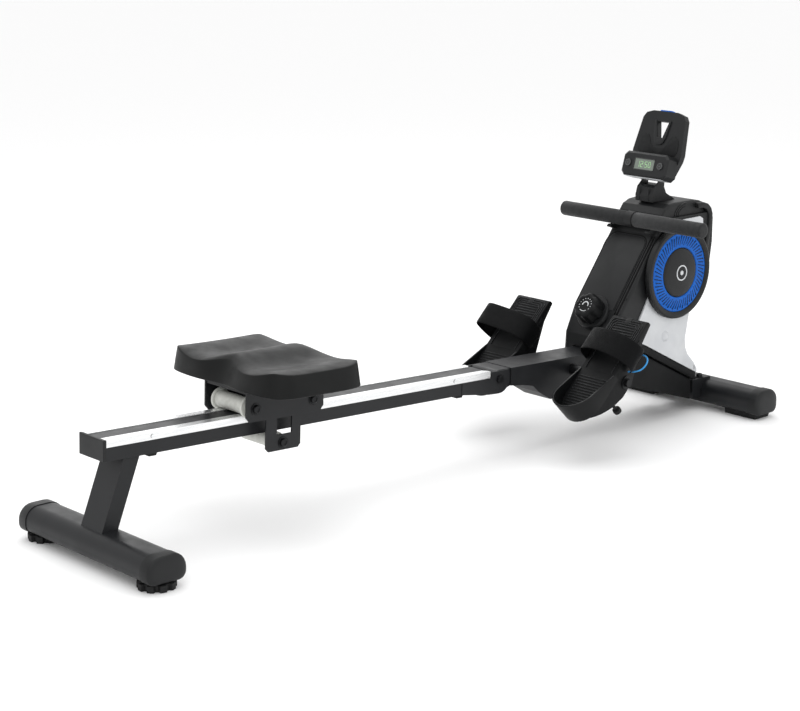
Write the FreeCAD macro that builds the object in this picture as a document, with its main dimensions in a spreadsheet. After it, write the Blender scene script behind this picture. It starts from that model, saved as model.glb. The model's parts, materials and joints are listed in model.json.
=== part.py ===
import FreeCAD
import Part
import Sketcher
import math
import os
from FreeCAD import Placement, Rotation, Vector

# A folding rowing machine. +X points forwards to the console, +Y to the rower's left, +Z up.
# Every piece is drawn from the rail's rear face (x = 0) and the floor (z = 0), then shifted by
# rail_rear so that the finished machine is centred on the origin. Pieces on the rail are drawn
# along the rail: x runs along it and z = 0 is its top.

DIMENSIONS = (
    ("rail_rear", -915.0, "x of the rail's rear face"),
    ("rail_top", 255.7, "height of the rail's top at its rear end"),
    ("rail_lean", 2.136, "degrees that the rail drops towards the front"),
    ("rail_wide", 84.0, "outer width of the rail"),
    ("rail_tall", 43.0, "height of the rail"),
    ("rail_wall", 2.0, "wall of the rail tube"),
    ("rail_tube_end", 1038.0, "front end of the rail tube"),
    ("strip_end", 1037.0, "front end of the aluminium strips"),
    ("strip_thick", 1.5, "aluminium strip"),
    ("strip_top", 20.0, "width of a strip on the rail's top"),
    ("strip_side", 15.0, "height of a strip on the rail's side"),
    ("pivot_along", 1067.0, "fold pivot, along the rail"),
    ("pivot_down", 21.5, "fold pivot, below the rail's top"),
    ("pivot_r", 6.0, "fold bolt radius"),
    ("ear_r", 33.0, "radius of the fold ears round the pivot"),
    ("running", 0.05, "radial running clearance"),
    ("foot_r_top", 30.0, "upper corner radius of the floor tubes"),
    ("foot_r_low", 16.0, "lower corner radius of the floor tubes"),
    ("foot_half", 217.0, "half length of the floor tubes"),
    ("cap_long", 10.0, "length of an end cap"),
    ("rear_low", 18.0, "underside of the rear floor tube"),
    ("rear_high", 70.0, "top of the rear floor tube"),
    ("rear_back", -33.0, "rear side of the rear floor tube"),
    ("rear_front", 55.0, "front side of the rear floor tube"),
    ("front_low", 14.0, "underside of the front floor tube"),
    ("front_high", 72.0, "top of the front floor tube"),
    ("front_back", 1770.0, "rear side of the front floor tube"),
    ("front_front", 1852.0, "front side of the front floor tube"),
    ("post_half", 36.0, "half width of the rear post"),
    ("level_x", 10.0, "levelling feet, from the rail's rear face"),
    ("level_y", 190.0, "levelling feet, from the middle"),
    ("level_r", 38.0, "radius of a levelling foot"),
    ("level_tall", 14.0, "height of a levelling foot"),
    ("level_stud", 5.0, "radius of a levelling stud"),
    ("roller_r", 18.0, "radius of a seat roller"),
    ("roller_gap", 0.3, "gap between roller and rail"),
    ("roller_rear_x", 346.0, "rear roller, along the rail"),
    ("roller_front_x", 496.0, "front roller, along the rail"),
    ("roller_low_x", 417.0, "lower roller, along the rail"),
    ("axle_r", 6.0, "radius of the roller axles"),
    ("plate_in", 66.0, "inner face of a carriage plate"),
    ("plate_thick", 4.0, "thickness of a carriage plate"),
    ("plate_top", 72.0, "top of the carriage plates above the rail"),
    ("seat_back", 305.0, "rear edge of the seat, along the rail"),
    ("seat_front", 549.0, "front edge of the seat, along the rail"),
    ("seat_half", 184.0, "half width of the seat"),
    ("seat_low", 60.0, "underside of the seat above the rail"),
    ("seat_high", 122.0, "highest line of the seat above the rail"),
    ("frame_half", 42.0, "half width of the main frame"),
    ("frame_wall", 3.0, "wall of the main frame"),
    ("tongue_half", 38.0, "half width of the tongue between the fold ears"),
    ("pedal_x", 1307.0, "pedal axle, from the rail's rear face"),
    ("pedal_z", 177.0, "height of the pedal axle"),
    ("pedal_y", 154.5, "middle of a pedal"),
    ("pedal_half", 52.5, "half width of a pedal"),
    ("pedal_lean", 45.0, "lean of the footrests in degrees"),
    ("pedal_rod", 12.0, "radius of the pedal axle"),
    ("foot_face", 43.0, "foot surface above the pedal axle"),
    ("strap_thick", 3.5, "thickness of a foot strap"),
    ("strap_wide", 60.0, "width of a foot strap"),
    ("strap_from", 15.0, "lower edge of a foot strap, from the axle"),
    ("loop_r", 1.8, "radius of the pull cord"),
    ("cable_r", 1.2, "radius of the console's lead"),
    ("shroud_half", 75.0, "half width of the housing"),
    ("shroud_wall", 3.5, "wall of the housing"),
    ("panel_thick", 3.7, "thickness of a side panel"),
    ("cover_half", 70.0, "half width of the lower cover"),
    ("wheel_x", 1622.0, "flywheel, from the rail's rear face"),
    ("wheel_z", 373.0, "height of the flywheel"),
    ("wheel_r", 84.0, "radius of the flywheel"),
    ("wheel_half", 10.0, "half thickness of the flywheel"),
    ("disc_r", 113.0, "radius of a side disc"),
    ("disc_small", 96.0, "radius of the flatter disc on the left"),
    ("magnet_x", 1611.0, "brake magnets' pivot, from the rail's rear face"),
    ("magnet_z", 473.0, "height of the brake magnets' pivot"),
    ("spool_x", 1478.0, "strap spool, from the rail's rear face"),
    ("spool_z", 282.0, "height of the strap spool"),
    ("knob_x", 1421.0, "middle of the tension knob's base"),
    ("knob_z", 290.0, "height of the tension knob's base"),
    ("knob_lean", 53.13, "degrees that the knob's axis leans back from upright"),
    ("knob_r", 35.0, "radius of the tension knob"),
    ("bar_x", 1549.0, "handlebar, from the rail's rear face"),
    ("bar_z", 499.5, "height of the handlebar"),
    ("bar_r", 18.0, "radius of the handlebar grip"),
    ("bar_half", 220.5, "half length of the handlebar"),
    ("cover_top", 538.0, "height of the housing's flat top"),
    ("tilt_x", 1622.0, "console pivot, from the rail's rear face"),
    ("tilt_z", 597.0, "height of the console pivot"),
    ("tilt_lean", 17.0, "degrees that the console leans forwards"),
    ("roll_x", 1846.0, "transport wheels, from the rail's rear face"),
    ("roll_z", 26.0, "height of the transport wheels' axle"),
    ("roll_r", 18.0, "radius of a transport wheel"),
    ("roll_y", 96.0, "transport wheels, from the middle"),
)

doc = FreeCAD.newDocument("RowingMachine")
sheet = doc.addObject("Spreadsheet::Sheet", "Dims")
for row, (alias, size, note) in enumerate(DIMENSIONS, 1):
    sheet.set(f"A{row}", alias)
    sheet.set(f"B{row}", str(size))
    sheet.set(f"C{row}", note)
    sheet.setAlias(f"B{row}", alias)
doc.recompute()

kept = []


def size(alias):
    """The number in one cell of the sheet."""
    return float(sheet.get(alias))


def worth(text):
    """What a formula on the sheet's names is worth."""
    return float(sheet.evalExpression(text))


def place(thing, x="0", y="0", z="0", lean=None):
    """Puts a piece at x, y, z, turned about Y by lean degrees."""
    angle = worth(lean) if lean else 0.0
    at = Vector(worth(x), worth(y), worth(z))
    thing.Placement = Placement(at, Rotation(Vector(0, 1, 0), angle))
    thing.setExpression("Placement.Base.x", x)
    thing.setExpression("Placement.Base.y", y)
    thing.setExpression("Placement.Base.z", z)


def body_at(label, x="Dims.rail_rear", y="0", z="0", lean=None, keep=True):
    """A new body. Kept bodies are written to a file of their own name."""
    body = doc.addObject("PartDesign::Body", label)
    body.Label = label
    place(body, x, y, z, lean)
    if keep:
        kept.append(body)
    return body


def body_on_rail(label, keep=True):
    """A new body that is drawn along the rail."""
    return body_at(label, "Dims.rail_rear", "0", "Dims.rail_top", "Dims.rail_lean", keep)


def sketch_on(body, role, lift):
    """An empty sketch, lifted off one of its body's own planes."""
    sketch = body.newObject("Sketcher::SketchObject", body.Label + "_sketch")
    plane = [f for f in body.Origin.OriginFeatures if f.Role == role][0]
    sketch.AttachmentSupport = (plane, "")
    sketch.MapMode = "FlatFace"
    sketch.setExpression("AttachmentOffset.Base.z", lift)
    return sketch


def hold(sketch, kind, item, end, text):
    """Ties one point's distance from the sketch's origin to a formula."""
    rule = Sketcher.Constraint("Distance" + kind, -1, 1, item, end, worth(text))
    index = sketch.addConstraint(rule)
    sketch.setExpression(f"Constraints[{index}]", text)


def outline(body, role, lift, corners):
    """A closed outline through corners, each a pair of formulas or numbers."""
    sketch = sketch_on(body, role, lift)
    texts = [(str(a), str(b)) for a, b in corners]
    points = [Vector(worth(a), worth(b), 0) for a, b in texts]
    count = len(points)
    for i in range(count):
        sketch.addGeometry(Part.LineSegment(points[i], points[(i + 1) % count]))
    for i in range(count):
        sketch.addConstraint(Sketcher.Constraint("Coincident", i, 2, (i + 1) % count, 1))
    for i, (a, b) in enumerate(texts):
        hold(sketch, "X", i, 1, a)
        hold(sketch, "Y", i, 1, b)
    return sketch


def circles(body, role, lift, rounds):
    """One or more circles, each (across, up, radius)."""
    sketch = sketch_on(body, role, lift)
    for i, (a, b, r) in enumerate(rounds):
        a, b, r = str(a), str(b), str(r)
        centre = Vector(worth(a), worth(b), 0)
        sketch.addGeometry(Part.Circle(centre, Vector(0, 0, 1), worth(r)))
        hold(sketch, "X", i, 3, a)
        hold(sketch, "Y", i, 3, b)
        index = sketch.addConstraint(Sketcher.Constraint("Radius", i, worth(r)))
        sketch.setExpression(f"Constraints[{index}]", r)
    return sketch


def rounded(body, role, lift, left, right, low, high, r_low, r_high):
    """A rectangle with round corners, all from formulas."""
    sketch = sketch_on(body, role, lift)
    x0, x1, z0, z1 = worth(left), worth(right), worth(low), worth(high)
    a, b = worth(r_low), worth(r_high)
    ends = (
        (x0 + a, z0, x1 - a, z0),
        (x1, z0 + a, x1, z1 - b),
        (x1 - b, z1, x0 + b, z1),
        (x0, z1 - b, x0, z0 + a),
    )
    for xa, za, xb, zb in ends:
        sketch.addGeometry(Part.LineSegment(Vector(xa, za, 0), Vector(xb, zb, 0)))
    turns = (
        (x1 - a, z0 + a, a, -90),
        (x1 - b, z1 - b, b, 0),
        (x0 + b, z1 - b, b, 90),
        (x0 + a, z0 + a, a, 180),
    )
    for x, z, r, start in turns:
        circle = Part.Circle(Vector(x, z, 0), Vector(0, 0, 1), r)
        arc = Part.ArcOfCircle(circle, math.radians(start), math.radians(start + 90))
        sketch.addGeometry(arc)
    for i in range(4):
        sketch.addConstraint(Sketcher.Constraint("Tangent", i, 2, 4 + i, 1))
        sketch.addConstraint(Sketcher.Constraint("Tangent", 4 + i, 2, (i + 1) % 4, 1))
    sketch.addConstraint(Sketcher.Constraint("Horizontal", 0))
    sketch.addConstraint(Sketcher.Constraint("Vertical", 1))
    hold(sketch, "Y", 0, 1, low)
    hold(sketch, "X", 1, 1, right)
    hold(sketch, "Y", 2, 1, high)
    hold(sketch, "X", 3, 1, left)
    for item, text in ((4, r_low), (5, r_high), (6, r_high), (7, r_low)):
        index = sketch.addConstraint(Sketcher.Constraint("Radius", item, worth(text)))
        sketch.setExpression(f"Constraints[{index}]", text)
    return sketch


def pad(body, sketch, length):
    """Material from the sketch along its normal."""
    feature = body.newObject("PartDesign::Pad", body.Label + "_pad")
    feature.Profile = sketch
    feature.setExpression("Length", str(length))
    doc.recompute()
    return feature


def pocket(body, sketch, length):
    """Cuts from the sketch along its normal, and makes sure that something was cut."""
    before = body.Shape.Volume
    feature = body.newObject("PartDesign::Pocket", body.Label + "_pocket")
    feature.Profile = sketch
    feature.Reversed = True
    feature.setExpression("Length", str(length))
    doc.recompute()
    if body.Shape.Volume > before - 0.01:
        raise RuntimeError(f"a pocket of {body.Label} cuts nothing")
    return feature


def turned(body, role, corners, lift="0"):
    """A full revolution of an outline about its sketch's vertical axis."""
    sketch = outline(body, role, lift, corners)
    feature = body.newObject("PartDesign::Revolution", body.Label + "_turned")
    feature.Profile = sketch
    feature.ReferenceAxis = (sketch, ["V_Axis"])
    feature.Angle = 360
    doc.recompute()
    return feature


def along(edge, axis):
    """Is this a straight edge along that axis, 0 to 2?"""
    if not isinstance(edge.Curve, Part.Line):
        return False
    return abs(abs(edge.Curve.Direction[axis]) - 1) < 1e-6


def soften(body, kind, amount, wanted):
    """Fillets or chamfers the edges that wanted(edge) picks."""
    tip = body.Tip
    names = [f"Edge{i}" for i, e in enumerate(tip.Shape.Edges, 1) if wanted(e)]
    if not names:
        raise RuntimeError(f"no edge of {body.Label} to soften")
    feature = body.newObject("PartDesign::" + kind, body.Label + "_" + kind.lower())
    feature.Base = (tip, names)
    feature.setExpression("Radius" if kind == "Fillet" else "Size", str(amount))
    doc.recompute()
    return feature


def repeat_round(body, feature, count):
    """Repeats a feature round the body's own Z axis."""
    axis = [f for f in body.Origin.OriginFeatures if f.Role == "Z_Axis"][0]
    pattern = body.newObject("PartDesign::PolarPattern", body.Label + "_pattern")
    pattern.Originals = [feature]
    pattern.Axis = (axis, [""])
    pattern.Angle = 360
    pattern.Occurrences = count
    body.Tip = pattern
    doc.recompute()
    return pattern


def arc_points(x, z, r, start, stop, count):
    """Corners on an arc, in degrees, as numbers."""
    steps = [math.radians(start + (stop - start) * i / (count - 1)) for i in range(count)]
    return [(f"{x} + ({r}) * {math.cos(a):.6f}", f"{z} + ({r}) * {math.sin(a):.6f}") for a in steps]


def cord(label, points, radius, placement):
    """A round cord in straight runs, rounded at each corner of its route."""
    corners = [Vector(*p) for p in points]
    edges = []
    start = corners[0]
    for before, corner, after in zip(corners, corners[1:], corners[2:]):
        back, on = before - corner, after - corner
        half_turn = (math.pi - back.getAngle(on)) / 2
        cut = 0.45 * min(back.Length, on.Length)
        bend = cut / math.tan(half_turn)
        back.normalize()
        on.normalize()
        middle = (back + on).normalize() * (bend / math.cos(half_turn) - bend) + corner
        enter, leave = corner + back * cut, corner + on * cut
        edges.append(Part.LineSegment(start, enter).toShape())
        edges.append(Part.Arc(enter, middle, leave).toShape())
        start = leave
    edges.append(Part.LineSegment(start, corners[-1]).toShape())
    section = Part.Wire([Part.Circle(corners[0], corners[1] - corners[0], radius).toShape()])
    thing = doc.addObject("Part::Feature", label)
    thing.Label = label
    thing.Shape = Part.Wire(edges).makePipeShell([section], True, True)
    thing.Placement = placement
    kept.append(thing)


def cut_by(label, base, tool):
    """base less tool, kept under its own name."""
    part = doc.addObject("Part::Cut", label)
    part.Label = label
    part.Base = base
    part.Tool = tool
    doc.recompute()
    kept.append(part)
    return part


# ---------------------------------------------------------------- rail
def make_rail():
    body = body_on_rail("rail_tube")
    half = "(Dims.rail_wide / 2 - Dims.strip_thick)"
    top, low = "-Dims.strip_thick", "-Dims.rail_tall"
    start = "6"
    ring = ((f"-{half}", low), (half, low), (half, top), (f"-{half}", top))
    pad(body, outline(body, "YZ_Plane", start, ring), f"Dims.rail_tube_end - {start}")
    ear = [
        (950, "-Dims.rail_tall + 1"),
        (950, "-Dims.rail_tall"),
        (1000, "-Dims.rail_tall - 6"),
        (1035, "-Dims.pivot_down - Dims.ear_r + 1"),
    ]
    ear += arc_points("Dims.pivot_along", "-Dims.pivot_down", "Dims.ear_r", -90, 36, 9)
    ear += [
        (1039.5, "-2"),
        (1039.5, "-Dims.strip_side - 1"),
        (950, "-Dims.strip_side - 1"),
    ]
    side = "Dims.rail_wide / 2"
    pad(body, outline(body, "XZ_Plane", f"{side} - 3.5", ear), "3.5")
    pad(body, outline(body, "XZ_Plane", f"-{side}", ear), "3.5")
    inside = f"({half} - Dims.rail_wall)"
    hollow = (
        (f"-{inside}", f"{low} + Dims.rail_wall"),
        (inside, f"{low} + Dims.rail_wall"),
        (inside, f"{top} - Dims.rail_wall"),
        (f"-{inside}", f"{top} - Dims.rail_wall"),
    )
    pocket(body, outline(body, "YZ_Plane", "0", hollow), "Dims.rail_tube_end + 10")
    hole = ("Dims.pivot_along", "-Dims.pivot_down", "Dims.pivot_r + Dims.running")
    pocket(body, circles(body, "XZ_Plane", "-50", [hole]), "100")


def make_strip(label, side):
    """An aluminium angle on one top edge of the rail, with its two screw heads. side is -1 right."""
    body = body_on_rail(label)
    out, thick = "Dims.rail_wide / 2", "Dims.strip_thick"
    angle = (
        (f"{side} * ({out})", "0"),
        (f"{side} * ({out})", "-Dims.strip_side"),
        (f"{side} * ({out} - {thick})", "-Dims.strip_side"),
        (f"{side} * ({out} - {thick})", f"-{thick}"),
        (f"{side} * ({out} - Dims.strip_top)", f"-{thick}"),
        (f"{side} * ({out} - Dims.strip_top)", "0"),
    )
    pad(body, outline(body, "YZ_Plane", "7", angle), "Dims.strip_end - 7")
    corner = (
        ("Dims.strip_end - 9", f"{side} * ({out} - Dims.strip_top)"),
        ("Dims.strip_end + 1", f"{side} * ({out} - Dims.strip_top)"),
        ("Dims.strip_end + 1", f"{side} * ({out} - Dims.strip_top + 9)"),
    )
    pocket(body, outline(body, "XY_Plane", "-5", corner), "10")
    lift = f"{out} - 0.5" if side < 0 else f"-({out}) - 1.5"
    for x in (114, 927):
        pad(body, circles(body, "XZ_Plane", lift, [(x, -8, 4)]), "2")


def make_end_cap():
    body = body_on_rail("rail_end_cap")
    half = "Dims.rail_wide / 2"
    face = ((f"-{half}", "-Dims.rail_tall"), (half, "-Dims.rail_tall"), (half, 0), (f"-{half}", 0))
    pad(body, outline(body, "YZ_Plane", "0", face), "5.9")
    soften(body, "Fillet", 2, lambda e: e.BoundBox.XMax < 0.01)
    inner = f"({half} - Dims.strip_thick - Dims.rail_wall - 0.1)"
    plug = (
        (f"-{inner}", "-Dims.rail_tall + Dims.rail_wall + 0.1"),
        (inner, "-Dims.rail_tall + Dims.rail_wall + 0.1"),
        (inner, "-Dims.strip_thick - Dims.rail_wall - 0.1"),
        (f"-{inner}", "-Dims.strip_thick - Dims.rail_wall - 0.1"),
    )
    pad(body, outline(body, "YZ_Plane", "5", plug), "16")


def make_stop(label, x):
    """A rubber stop under the rail that the lower roller meets."""
    body = body_on_rail(label)
    top = "-Dims.rail_tall"
    block = ((x, top), (x, f"{top} - 7"), (x + 5, f"{top} - 10"), (x + 22, f"{top} - 10"), (x + 26, top))
    pad(body, outline(body, "XZ_Plane", "-26", block), "52")


def floor_profile(body, lift, which, grow="0"):
    """The round-topped section shared by both floor tubes."""
    name = "Dims." + which
    return rounded(
        body,
        "XZ_Plane",
        lift,
        f"{name}_back - {grow}",
        f"{name}_front + {grow}",
        f"{name}_low - {grow}",
        f"{name}_high + {grow}",
        f"Dims.foot_r_low + {grow}",
        f"Dims.foot_r_top + {grow}",
    )


def make_rear_tube():
    body = body_at("rear_stabilizer")
    pad(body, floor_profile(body, "-Dims.foot_half", "rear"), "Dims.foot_half * 2")
    inner = rounded(
        body,
        "XZ_Plane",
        "-Dims.foot_half - 1",
        "Dims.rear_back + 2",
        "Dims.rear_front - 2",
        "Dims.rear_low + 2",
        "Dims.rear_high - 2",
        "Dims.foot_r_low - 2",
        "Dims.foot_r_top - 2",
    )
    pocket(body, inner, "Dims.foot_half * 2 + 2")
    for side in (-1, 1):
        hole = ("Dims.level_x", f"{side} * Dims.level_y", "Dims.level_stud + Dims.running")
        pocket(body, circles(body, "XY_Plane", "Dims.rear_low - 5", [hole]), "12")


def make_cap(label, which, side):
    """A moulded cap that closes one end of a floor tube."""
    body = body_at(label)
    near = "Dims.foot_half" if side < 0 else "-Dims.foot_half - Dims.cap_long"
    pad(body, floor_profile(body, near, which, "1"), "Dims.cap_long")
    edge = "Dims.foot_half + Dims.cap_long"
    far = -worth(edge) if side < 0 else worth(edge)
    soften(body, "Fillet", 7, lambda e: max(abs(e.BoundBox.YMin - far), abs(e.BoundBox.YMax - far)) < 0.01)


def make_rear_post():
    plain = body_on_rail("rear_post_plain", keep=False)
    corners = ((51, "-Dims.rail_tall"), (88, "-Dims.rail_tall"), (30, -205), (-7, -205))
    pad(plain, outline(plain, "XZ_Plane", "-Dims.post_half", corners), "Dims.post_half * 2")
    inner = ((54, "-Dims.rail_tall - 3"), (84, "-Dims.rail_tall - 3"), (22, -215), (-8, -215))
    pocket(plain, outline(plain, "XZ_Plane", "-Dims.post_half + 3", inner), "Dims.post_half * 2 - 6")
    whole = body_at("rear_tube_space", keep=False)
    pad(whole, floor_profile(whole, "-Dims.foot_half", "rear"), "Dims.foot_half * 2")
    cut_by("rear_post", plain, whole)


def make_level_foot(label, side):
    """A lobed levelling foot with its stud."""
    body = body_at(label, "Dims.rail_rear + Dims.level_x", f"{side} * Dims.level_y")
    pad(body, circles(body, "XY_Plane", "0", [(0, 0, "Dims.level_r")]), "Dims.level_tall")
    gap = circles(body, "XY_Plane", "-1", [("Dims.level_r + 1", 0, 5.5)])
    notch = pocket(body, gap, "Dims.level_tall + 2")
    repeat_round(body, notch, 9)
    pad(body, circles(body, "XY_Plane", "1", [(0, 0, "Dims.level_stud")]), "50")


# ---------------------------------------------------------------- carriage
UP = "Dims.roller_r + Dims.roller_gap"
DOWN = "-Dims.rail_tall - Dims.roller_r - Dims.roller_gap"
AXLES = (("Dims.roller_rear_x", UP), ("Dims.roller_front_x", UP), ("Dims.roller_low_x", DOWN))


def make_plate(label, side):
    body = body_on_rail(label)
    top = "Dims.plate_top"
    shape = (
        (322, top),
        (322, 2),
        (331, -8),
        (373, -8),
        (373, -70),
        (380, -77),
        (456, -77),
        (463, -70),
        (463, -8),
        (514, -8),
        (523, 2),
        (523, top),
    )
    lift = "Dims.plate_in" if side < 0 else "-Dims.plate_in - Dims.plate_thick"
    pad(body, outline(body, "XZ_Plane", lift, shape), "Dims.plate_thick")
    window = ((401, -44), (440, -44), (440, -9), (401, -9))
    pocket(body, outline(body, "XZ_Plane", f"{lift} - 1", window), "Dims.plate_thick + 2")
    holes = [(x, z, 4.1) for x, z in AXLES]
    pocket(body, circles(body, "XZ_Plane", f"{lift} - 1", holes), "Dims.plate_thick + 2")


def make_seat_base():
    body = body_on_rail("seat_base")
    half = "(Dims.plate_in - 0.1)"
    top = "Dims.plate_top"
    pan = ((324, f"-{half}"), (521, f"-{half}"), (521, half), (324, half))
    pad(body, outline(body, "XY_Plane", f"{top} - 4", pan), "4")
    for near, far in ((324, 328), (517, 521)):
        lip = ((near, f"-{half}"), (far, f"-{half}"), (far, half), (near, half))
        pad(body, outline(body, "XY_Plane", f"{top} - 22", lip), "19")
    for side in (-1, 1):
        near, far = f"{side} * (Dims.plate_in - 4)", f"{side} * {half}"
        lip = ((330, near), (515, near), (515, far), (330, far))
        pad(body, outline(body, "XY_Plane", f"{top} - 22", lip), "19")


def make_axles():
    """Three axles with their hex heads outside the plates."""
    body = body_on_rail("carriage_axles")
    out = "(Dims.plate_in + Dims.plate_thick)"
    for x, z in AXLES:
        pad(body, circles(body, "XZ_Plane", f"-{out}", [(x, z, 4)]), f"{out} * 2")
        thick = circles(body, "XZ_Plane", "-Dims.plate_in + 0.1", [(x, z, "Dims.axle_r")])
        pad(body, thick, "Dims.plate_in * 2 - 0.2")
        for lift in (f"-{out} - 5", out):
            pad(body, outline(body, "XZ_Plane", lift, arc_points(x, z, 8, 0, 300, 6)), "5")


def make_roller(label, x, z, flange):
    """A stepped roller. Upper ones have flanges that guide them on the rail."""
    body = body_on_rail(label)
    bore = "Dims.axle_r + Dims.running"
    half = "Dims.rail_wide / 2 + 1.5"
    steps = [(bore, "-60"), ("11", "-60"), ("11", f"-({half} + 7)")]
    if flange:
        steps += [("23", f"-({half} + 7)"), ("23", f"-({half})")]
    steps += [("Dims.roller_r", f"-({half})"), ("Dims.roller_r", half)]
    if flange:
        steps += [("23", half), ("23", f"{half} + 7")]
    else:
        steps[2] = ("11", f"-({half})")
    steps += [("11", f"{half} + 7" if flange else half), ("11", "60"), (bore, "60")]
    place(
        body,
        f"Dims.rail_rear + ({x}) * cos(Dims.rail_lean) + ({z}) * sin(Dims.rail_lean)",
        "0",
        f"Dims.rail_top - ({x}) * sin(Dims.rail_lean) + ({z}) * cos(Dims.rail_lean)",
    )
    turned(body, "XY_Plane", steps)


SEAT_LEAN = -13  # degrees that the seat's sides lean in


def make_seat():
    """The seat is a plain moulded cushion with two shallow hollows."""
    body = body_on_rail("seat_pad")
    half = "Dims.seat_half"
    plan = (
        ("Dims.seat_back + 12", f"-{half} + 14"),
        ("Dims.seat_back + 40", f"-{half}"),
        ("Dims.seat_front - 40", f"-{half}"),
        ("Dims.seat_front - 12", f"-{half} + 14"),
        ("Dims.seat_front", f"-{half} + 46"),
        ("Dims.seat_front - 6", "0"),
        ("Dims.seat_front", f"{half} - 46"),
        ("Dims.seat_front - 12", f"{half} - 14"),
        ("Dims.seat_front - 40", half),
        ("Dims.seat_back + 40", half),
        ("Dims.seat_back + 12", f"{half} - 14"),
        ("Dims.seat_back", f"{half} - 60"),
        ("Dims.seat_back + 12", "0"),
        ("Dims.seat_back", f"-{half} + 60"),
    )
    block = pad(body, outline(body, "XY_Plane", "Dims.seat_low", plan), "Dims.seat_high - Dims.seat_low")
    block.TaperAngle = SEAT_LEAN
    doc.recompute()
    soften(body, "Fillet", 12, lambda e: e.BoundBox.ZMin > size("seat_high") - 0.1)
    for side in (-1, 1):
        bowl = body.newObject("PartDesign::SubtractiveEllipsoid", "seat_hollow")
        bowl.Radius1 = 26
        bowl.Radius2 = 86
        bowl.Radius3 = 62
        plane = [f for f in body.Origin.OriginFeatures if f.Role == "XY_Plane"][0]
        bowl.AttachmentSupport = (plane, "")
        bowl.MapMode = "FlatFace"
        bowl.setExpression("AttachmentOffset.Base.x", "(Dims.seat_back + Dims.seat_front) / 2 - 12")
        bowl.setExpression("AttachmentOffset.Base.y", f"{side} * 82")
        bowl.setExpression("AttachmentOffset.Base.z", "Dims.seat_high + 8")
        doc.recompute()
    under = "Dims.plate_top + 0.1 - Dims.seat_low"
    space = (("318", "-74"), ("527", "-74"), ("527", "74"), ("318", "74"))
    pocket(body, outline(body, "XY_Plane", "Dims.seat_low - 0.001", space), under)


# ---------------------------------------------------------------- main frame
LEAN = size("rail_lean")


def beam_top(x):
    """Height of the rail's top line at x from the rail's rear face."""
    return size("rail_top") - x * math.tan(math.radians(LEAN))


def make_main_frame():
    """Welded frame: fold tongue, beam, cranked spine to the front saddle and flywheel brackets."""
    body = body_at("main_frame")
    half, wall = "Dims.frame_half", "Dims.frame_wall"
    outer = (
        (1102, beam_top(1102)),
        (1400, beam_top(1400)),
        (1505, 198),
        (1706, 97),
        (1762, 80),
        (1762, 38),
        (1706, 46),
        (1492, 114),
        (1233, 118),
        (1195, 141),
        (1174, 160),
        (1140, 168),
        (1102, 173),
    )
    pad(body, outline(body, "XZ_Plane", f"-{half}", outer), f"{half} * 2")
    inner = (
        (1106, beam_top(1106) - 3),
        (1400, beam_top(1400) - 3),
        (1504, 195),
        (1705, 93.6),
        (1736, 84),
        (1736, 46),
        (1706, 49.6),
        (1492, 117.2),
        (1234, 121.2),
        (1197, 143.5),
        (1175, 163),
        (1140, 171),
        (1106, 176),
    )
    pocket(body, outline(body, "XZ_Plane", f"-{half} + {wall}", inner), f"({half} - {wall}) * 2")
    # lightening slot, so the hollow spine drains and is open underneath
    drain = ((1500, -12), (1640, -12), (1640, 12), (1500, 12))
    pocket(body, outline(body, "XY_Plane", "40", drain), "90")
    # fold tongue with a round nose about the pivot
    px = f"(Dims.pivot_along * cos({LEAN}) - Dims.pivot_down * sin({LEAN}))"
    pz = f"(Dims.rail_top - Dims.pivot_along * sin({LEAN}) - Dims.pivot_down * cos({LEAN}))"
    nose = arc_points(px, pz, 20.5, 90, 270, 13)
    tongue = nose + [(1104, beam_top(1104) - 42), (1104, beam_top(1104) - 1)]
    pad(body, outline(body, "XZ_Plane", "-Dims.tongue_half", tongue), "Dims.tongue_half * 2")
    hole = (px, pz, "Dims.pivot_r + Dims.running")
    pocket(body, circles(body, "XZ_Plane", "-60", [hole]), "120")
    axle = ("Dims.pedal_x", "Dims.pedal_z", "Dims.pedal_rod + Dims.running")
    pocket(body, circles(body, "XZ_Plane", "-60", [axle]), "120")
    # bolted saddle over the front floor tube
    saddle = (
        (1738, 78),
        (1738, 30),
        (1806, 30),
        (1806, 78),
    )
    pad(body, outline(body, "XZ_Plane", "-50", saddle), "100")
    pocket(body, floor_profile(body, "-70", "front"), "140")
    for side in (-1, 1):
        head = outline(body, "XY_Plane", "77", arc_points("1779", f"{side * 37}", 7, 0, 300, 6))
        pad(body, head, "7")
    # upright plates that carry the flywheel and the spool
    upright = (
        (1440, 198),
        (1447, 300),
        (1500, 316),
        (1572, 374),
        (1599, 485),
        (1623, 485),
        (1640, 396),
        (1650, 396),
        (1650, 350),
        (1560, 240),
        (1545, 172),
        (1440, 190),
    )
    for lift in (-32, 28):
        pad(body, outline(body, "XZ_Plane", str(lift), upright), "4")
    pad(body, circles(body, "XZ_Plane", "-32", [("Dims.wheel_x", "Dims.wheel_z", 10)]), "64")
    pad(body, circles(body, "XZ_Plane", "-32", [("Dims.spool_x", "Dims.spool_z", 8)]), "64")
    pad(body, circles(body, "XZ_Plane", "-32", [("Dims.magnet_x", "Dims.magnet_z", 4)]), "64")


def make_fold_bolt():
    body = body_on_rail("fold_bolt")
    out = "(Dims.rail_wide / 2 + 0.4)"
    at = ("Dims.pivot_along", "-Dims.pivot_down")
    pad(body, circles(body, "XZ_Plane", f"-{out}", [(*at, "Dims.pivot_r")]), f"{out} * 2")
    for lift in (f"-{out} - 5", out):
        pad(body, outline(body, "XZ_Plane", lift, arc_points(*at, 10, 0, 300, 6)), "5")


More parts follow.
